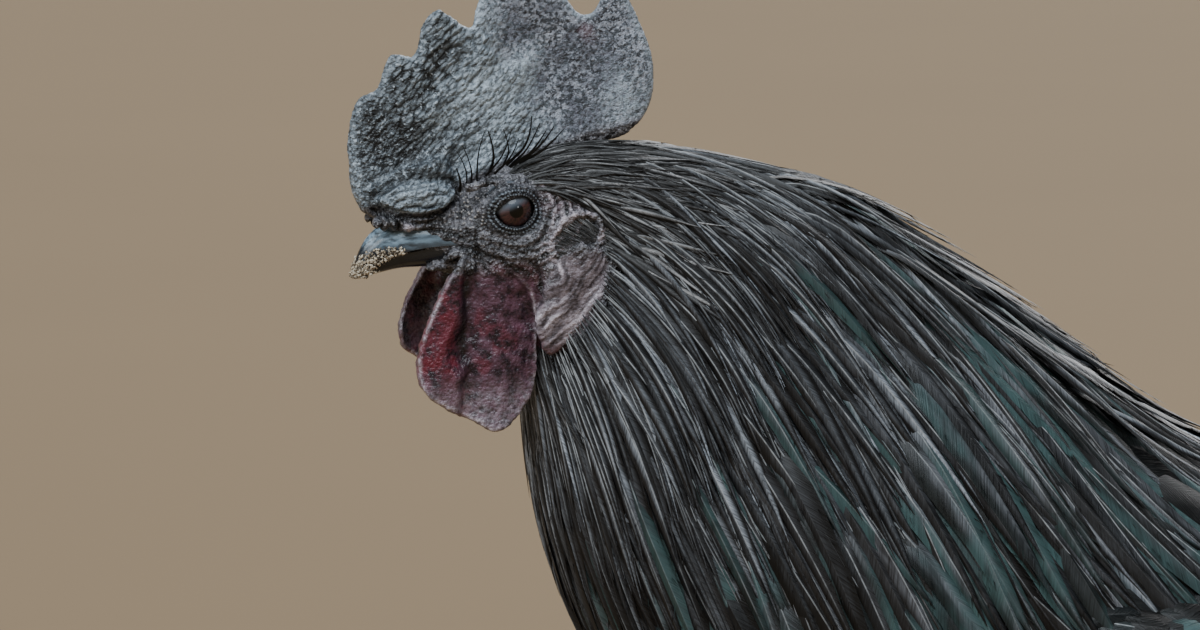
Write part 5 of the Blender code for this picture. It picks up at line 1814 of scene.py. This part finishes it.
def add_arcs(plumes, line, half, sign, green, arch, ply, rows):
    """Upright vanes along arcs on the left, or their mirror image."""
    line = line * (1.0, sign, 1.0)
    count = len(line)
    normal = np.zeros_like(line) + (0.0, -sign, 0.0)
    lean = plumes.rng.normal(0.0, 0.15, (count, 1, 1))
    normal = unit(normal + lean * np.cross(normal, unit(np.gradient(line, axis=1))))
    at = stacked(0.5 + sign * np.linspace(0.02, 0.2, count), 0.9)
    mark = plumes.marks(count, green, (0.0, 0.3))
    plumes.add(line, normal, half, at, mark, arch, ply, rows)
    return line, normal, half, at, mark


def make_tail(look):
    """Tail fan, sickles, and the lesser sickles and coverts that fill between them."""
    material = feather_material(
        "tail_black", look, (0.002, 0.003, 0.0032), (0.018, 0.028, 0.029), 0.28, 0.0, 0.1
    )
    fan, long, small, fringe = Plumes(61), Plumes(62), Plumes(63), Plumes(64)
    for sign in (1.0, -1.0):
        order = (np.arange(FAN_FEATHERS) + 0.5) / FAN_FEATHERS
        first = FAN_FIRST_DEG + (FAN_LAST_DEG - FAN_FIRST_DEG) * order + 3.0
        same = np.ones(FAN_FEATHERS)
        length = FAN_LENGTH * (1.0 - 0.26 * order**2)
        line = arcs(TAIL_ROOT, first, 16.0 * same, length, 17.0 - 9.0 * order, 7.0 - 3.0 * order, 20)
        half = 15.5 * same[:, None] * blade(np.linspace(0.0, 1.0, 20))
        fringe.add_barbs(*add_arcs(fan, line, half, sign, 0.6, 0.06, 0.5, BROAD), 40, 5.0, 0.5)
        first, drop, length, width, root_y, tip_y = np.array([row[1:] for row in SICKLES]).T
        line = arcs(SICKLE_ROOT, first, drop, length, root_y, tip_y, 60)
        half = 0.48 * width[:, None] * sickle(np.linspace(0.0, 1.0, 60))
        fringe.add_barbs(*add_arcs(long, line, half, sign, 1.0, 0.16, 0.6, BROAD), 160, 5.0, 0.1)
        count = int(COVERTS * DENSITY)
        rank = small.rng.random(count)
        first = 20.0 + 76.0 * rank
        length = (120.0 + 150.0 * rank) * small.rng.uniform(0.75, 1.15, count)
        drop = small.rng.uniform(100.0, 150.0, count)
        root_y = 9.0 + 12.0 * (1.0 - rank) + small.rng.normal(0.0, 1.5, count)
        tip_y = 14.0 + 20.0 * (1.0 - rank) + small.rng.normal(0.0, 4.0, count)
        line = arcs(COVERT_ROOT, first, drop, length, root_y, tip_y, 17)
        line += small.rng.normal(0.0, 4.0, (count, 1, 3)) * (1.0, 0.0, 1.0)
        half = 0.5 * small.rng.uniform(10.0, 17.0, (count, 1)) * pointed(np.linspace(0.0, 1.0, 17))
        half = np.maximum(half, 0.08)
        fringe.add_barbs(*add_arcs(small, line, half, sign, 0.6, 0.25, 0.3, RIDGED), 16, 4.0, 0.3)
    fan.piece("tail_feathers", material, "tail", ["tail_fan"])
    names = [f"sickle_{side}_{row[0]}" for side in ("left", "right") for row in SICKLES]
    long.piece("sickle_feathers", material, "tail", names)
    small.piece("tail_coverts", material, "tail")
    fringe.piece("tail_barbs", material, "tail")


# The stage


def add_lamp(name, heading_deg, width_deg, strength, colour):
    """A far, wide soft light. Its heading is an azimuth, round from the bird's left side towards
    its tail, and an elevation."""
    light = bpy.data.lights.new(name, "SUN")
    light.angle, light.energy, light.color = width_deg * DEG, strength, colour
    lamp = bpy.data.objects.new(name, light)
    azimuth, elevation = np.array(heading_deg) * DEG
    side = Vector((math.sin(azimuth), -math.cos(azimuth), math.tan(elevation)))
    lamp.rotation_euler = side.to_track_quat("Z", "Y").to_euler()
    bpy.context.collection.objects.link(lamp)


def add_camera():
    """Looks at the head from the left and a little from the front and above."""
    azimuth, elevation, distance = -15.0 * DEG, 8.0 * DEG, 1.6
    aside, below = 0.0224, 0.0276  # from the left eye to the middle of the view
    side = np.array((math.sin(azimuth), -math.cos(azimuth), 0.0))
    back = side * math.cos(elevation) + (0.0, 0.0, math.sin(elevation))
    right = np.array((math.cos(azimuth), math.sin(azimuth), 0.0))
    aim = in_frame(EYE + (0.0, -14.0, 0.0)) + right * aside - np.cross(back, right) * below
    camera = bpy.data.cameras.new("camera")
    camera.sensor_width, camera.lens = 36.0, 182.3
    camera.clip_start, camera.clip_end = 0.05, 100.0
    viewer = bpy.data.objects.new("camera", camera)
    viewer.location = aim + back * distance
    viewer.rotation_euler = Vector(back).to_track_quat("Z", "Y").to_euler()
    bpy.context.collection.objects.link(viewer)
    bpy.context.scene.camera = viewer


def make_stage(look):
    """A pale floor that curves up far off all round the bird, soft lamps and the camera."""
    reach = np.concatenate(([0.0], np.geomspace(0.5, 30.0, 40)))
    reach, turn = grid(reach, round_turn(96))
    lift = 7.0 * ease(reach, 14.0, 30.0) ** 1.4
    rings = stacked(reach * np.cos(turn), reach * np.sin(turn), lift)
    points = rings.reshape(-1, 3) / MM + (BOX_MIDDLE_X, 0.0, 0.0)
    quads, _ = tube_faces(*reach.shape)
    mesh = new_mesh("floor", points, quads)
    p = Paint("pale_floor", 0.9)
    haze = p.grain(p.place(), 1.6, 2.0)
    brighter = tuple(part * 1.1 for part in look.floor)
    mesh.materials.append(p.finish(p.blend(haze, look.floor, brighter)))
    mesh.shade_smooth()
    floor = bpy.data.objects.new("floor", mesh)
    bpy.context.collection.objects.link(floor)

    add_lamp("sky", (-25.0, 62.0), 55.0, 3.3, (0.87, 0.945, 1.0))
    add_lamp("window", (-75.0, 28.0), 35.0, 1.35, (0.87, 0.945, 1.0))
    add_lamp("rim", (140.0, 34.0), 40.0, 2.0, (0.97, 0.97, 0.98))
    add_lamp("catchlight", (24.0, 17.0), 7.0, 0.16, (0.95, 0.98, 1.0))
    world = bpy.context.scene.world or bpy.data.worlds.new("studio")
    bpy.context.scene.world = world
    world.use_nodes = True
    backdrop = world.node_tree.nodes["Background"]
    backdrop.inputs[0].default_value = (0.80, 0.86, 0.92, 1.0)
    backdrop.inputs[1].default_value = 0.10
    add_camera()


# The add-on


def colour_setting(name, description, default):
    """A colour that the user may change."""
    return bpy.props.FloatVectorProperty(
        name=name, description=description, default=default, subtype="COLOR", size=3, min=0.0, max=1.0
    )


class RoosterLook(bpy.types.PropertyGroup):
    """Colours of the rooster and its floor."""

    face_dark: colour_setting("Face, dark", "The darkest skin of the face", (0.010, 0.010, 0.012))
    face_pale: colour_setting("Face, pale", "The palest skin of the face", (0.204, 0.200, 0.226))
    # comb_dark is painted shade in the comb's hollows and comb_pale painted highlight on its ridges.
    comb_dark: colour_setting("Comb, dark", "The hollows of the comb", (0.014, 0.018, 0.022))
    comb_pale: colour_setting("Comb, pale", "The ridges of the comb", (0.230, 0.275, 0.320))
    wattle_dark: colour_setting("Wattle, dark", "The darkest wattle skin", (0.018, 0.0090, 0.0150))
    wattle_pale: colour_setting("Wattle, pale", "The palest wattle skin", (0.132, 0.068, 0.104))
    lobe_dark: colour_setting("Earlobe, dark", "The darkest earlobe skin", (0.036, 0.027, 0.034))
    lobe_pale: colour_setting("Earlobe, pale", "The palest earlobe skin", (0.280, 0.235, 0.268))
    blood: colour_setting("Red skin", "Where the skin shows red", (0.130, 0.014, 0.027))
    # bill is the colour of the painted highlight on the bill's top.
    bill: colour_setting("Bill", "The palest horn of the bill", (0.390, 0.560, 0.720))
    iris_dark: colour_setting("Iris, dark", "The iris between its rays", (0.026, 0.016, 0.017))
    iris_red: colour_setting("Iris, red", "The iris's rays", (0.088, 0.036, 0.034))
    shaft: colour_setting("Shaft", "The pale shafts of the neck feathers", (0.360, 0.375, 0.390))
    # green is the colour of the painted sheen on the vanes.
    green: colour_setting("Sheen", "The green sheen on the vanes", (0.070, 0.136, 0.138))
    leg_dark: colour_setting("Leg, dark", "The darkest scales", (0.012, 0.013, 0.015))
    leg_pale: colour_setting("Leg, pale", "The palest scales", (0.065, 0.069, 0.076))
    floor: colour_setting("Floor", "The pale floor", (0.194, 0.131, 0.069))


class RoosterStep(bpy.types.Operator):
    """What all the steps share"""

    bl_options = {"REGISTER"}

    def look(self):
        """The colours that the user has set."""
        return bpy.context.scene.rooster_look


class ROOSTER_OT_skin(RoosterStep):
    """Makes the one skin, with its comb, wattles, earlobes and lids"""

    bl_idname, bl_label = "rooster.skin", "Skin"

    def execute(self, context):
        make_skin(self.look())
        return {"FINISHED"}


class ROOSTER_OT_bill(RoosterStep):
    """Makes the bill and the sand on its tip"""

    bl_idname, bl_label = "rooster.bill", "Bill"

    def execute(self, context):
        make_bill(self.look())
        make_sand()
        return {"FINISHED"}


class ROOSTER_OT_eyes(RoosterStep):
    """Makes the eyes"""

    bl_idname, bl_label = "rooster.eyes", "Eyes"

    def execute(self, context):
        make_eyes(self.look())
        return {"FINISHED"}


class ROOSTER_OT_legs(RoosterStep):
    """Makes the scaled legs and toes, with their claws and spurs"""

    bl_idname, bl_label = "rooster.legs", "Legs"

    def execute(self, context):
        make_legs(self.look())
        return {"FINISHED"}


class ROOSTER_OT_head_feathers(RoosterStep):
    """Makes the crown's fine feathers, the ear tufts and the bristles"""

    bl_idname, bl_label = "rooster.head_feathers", "Crown feathers"

    def execute(self, context):
        make_head_feathers(self.look())
        return {"FINISHED"}


class ROOSTER_OT_hackles(RoosterStep):
    """Makes the neck's long pointed feathers"""

    bl_idname, bl_label = "rooster.hackles", "Hackles"

    def execute(self, context):
        make_hackles(self.look())
        return {"FINISHED"}


class ROOSTER_OT_body_feathers(RoosterStep):
    """Makes the feathers of breast, belly, back, saddle and thighs"""

    bl_idname, bl_label = "rooster.body_feathers", "Body feathers"

    def execute(self, context):
        make_body_feathers(self.look())
        return {"FINISHED"}


class ROOSTER_OT_wings(RoosterStep):
    """Makes the wings' coverts and quills"""

    bl_idname, bl_label = "rooster.wings", "Wing feathers"

    def execute(self, context):
        make_wings(self.look())
        return {"FINISHED"}


class ROOSTER_OT_tail(RoosterStep):
    """Makes the tail fan, its sickles and its coverts"""

    bl_idname, bl_label = "rooster.tail", "Tail"

    def execute(self, context):
        make_tail(self.look())
        return {"FINISHED"}


class ROOSTER_OT_stage(RoosterStep):
    """Makes the floor, the lamps and the camera"""

    bl_idname, bl_label = "rooster.stage", "Stage"

    def execute(self, context):
        make_stage(self.look())
        return {"FINISHED"}


OPERATORS = (
    ROOSTER_OT_skin,
    ROOSTER_OT_bill,
    ROOSTER_OT_eyes,
    ROOSTER_OT_legs,
    ROOSTER_OT_head_feathers,
    ROOSTER_OT_hackles,
    ROOSTER_OT_body_feathers,
    ROOSTER_OT_wings,
    ROOSTER_OT_tail,
    ROOSTER_OT_stage,
)


class ROOSTER_PT_panel(bpy.types.Panel):
    """Lists the rooster's pieces and colours"""

    bl_idname, bl_label = "ROOSTER_PT_panel", "Black rooster"
    bl_space_type, bl_region_type, bl_category = "VIEW_3D", "UI", "Rooster"

    def draw(self, context):
        for operator in OPERATORS:
            self.layout.operator(operator.bl_idname)
        for key in RoosterLook.__annotations__:
            self.layout.prop(context.scene.rooster_look, key)


def register():
    """Adds the panel, its steps and its colours."""
    for cls in (RoosterLook, *OPERATORS, ROOSTER_PT_panel):
        bpy.utils.register_class(cls)
    bpy.types.Scene.rooster_look = bpy.props.PointerProperty(type=RoosterLook)


def unregister():
    """Takes them away again."""
    del bpy.types.Scene.rooster_look
    for cls in (ROOSTER_PT_panel, *reversed(OPERATORS), RoosterLook):
        bpy.utils.unregister_class(cls)


def main():
    """Makes the rooster and its stage."""
    register()
    for operator in OPERATORS:
        group, name = operator.bl_idname.split(".")
        getattr(getattr(bpy.ops, group), name)()


if __name__ == "__main__":
    main()
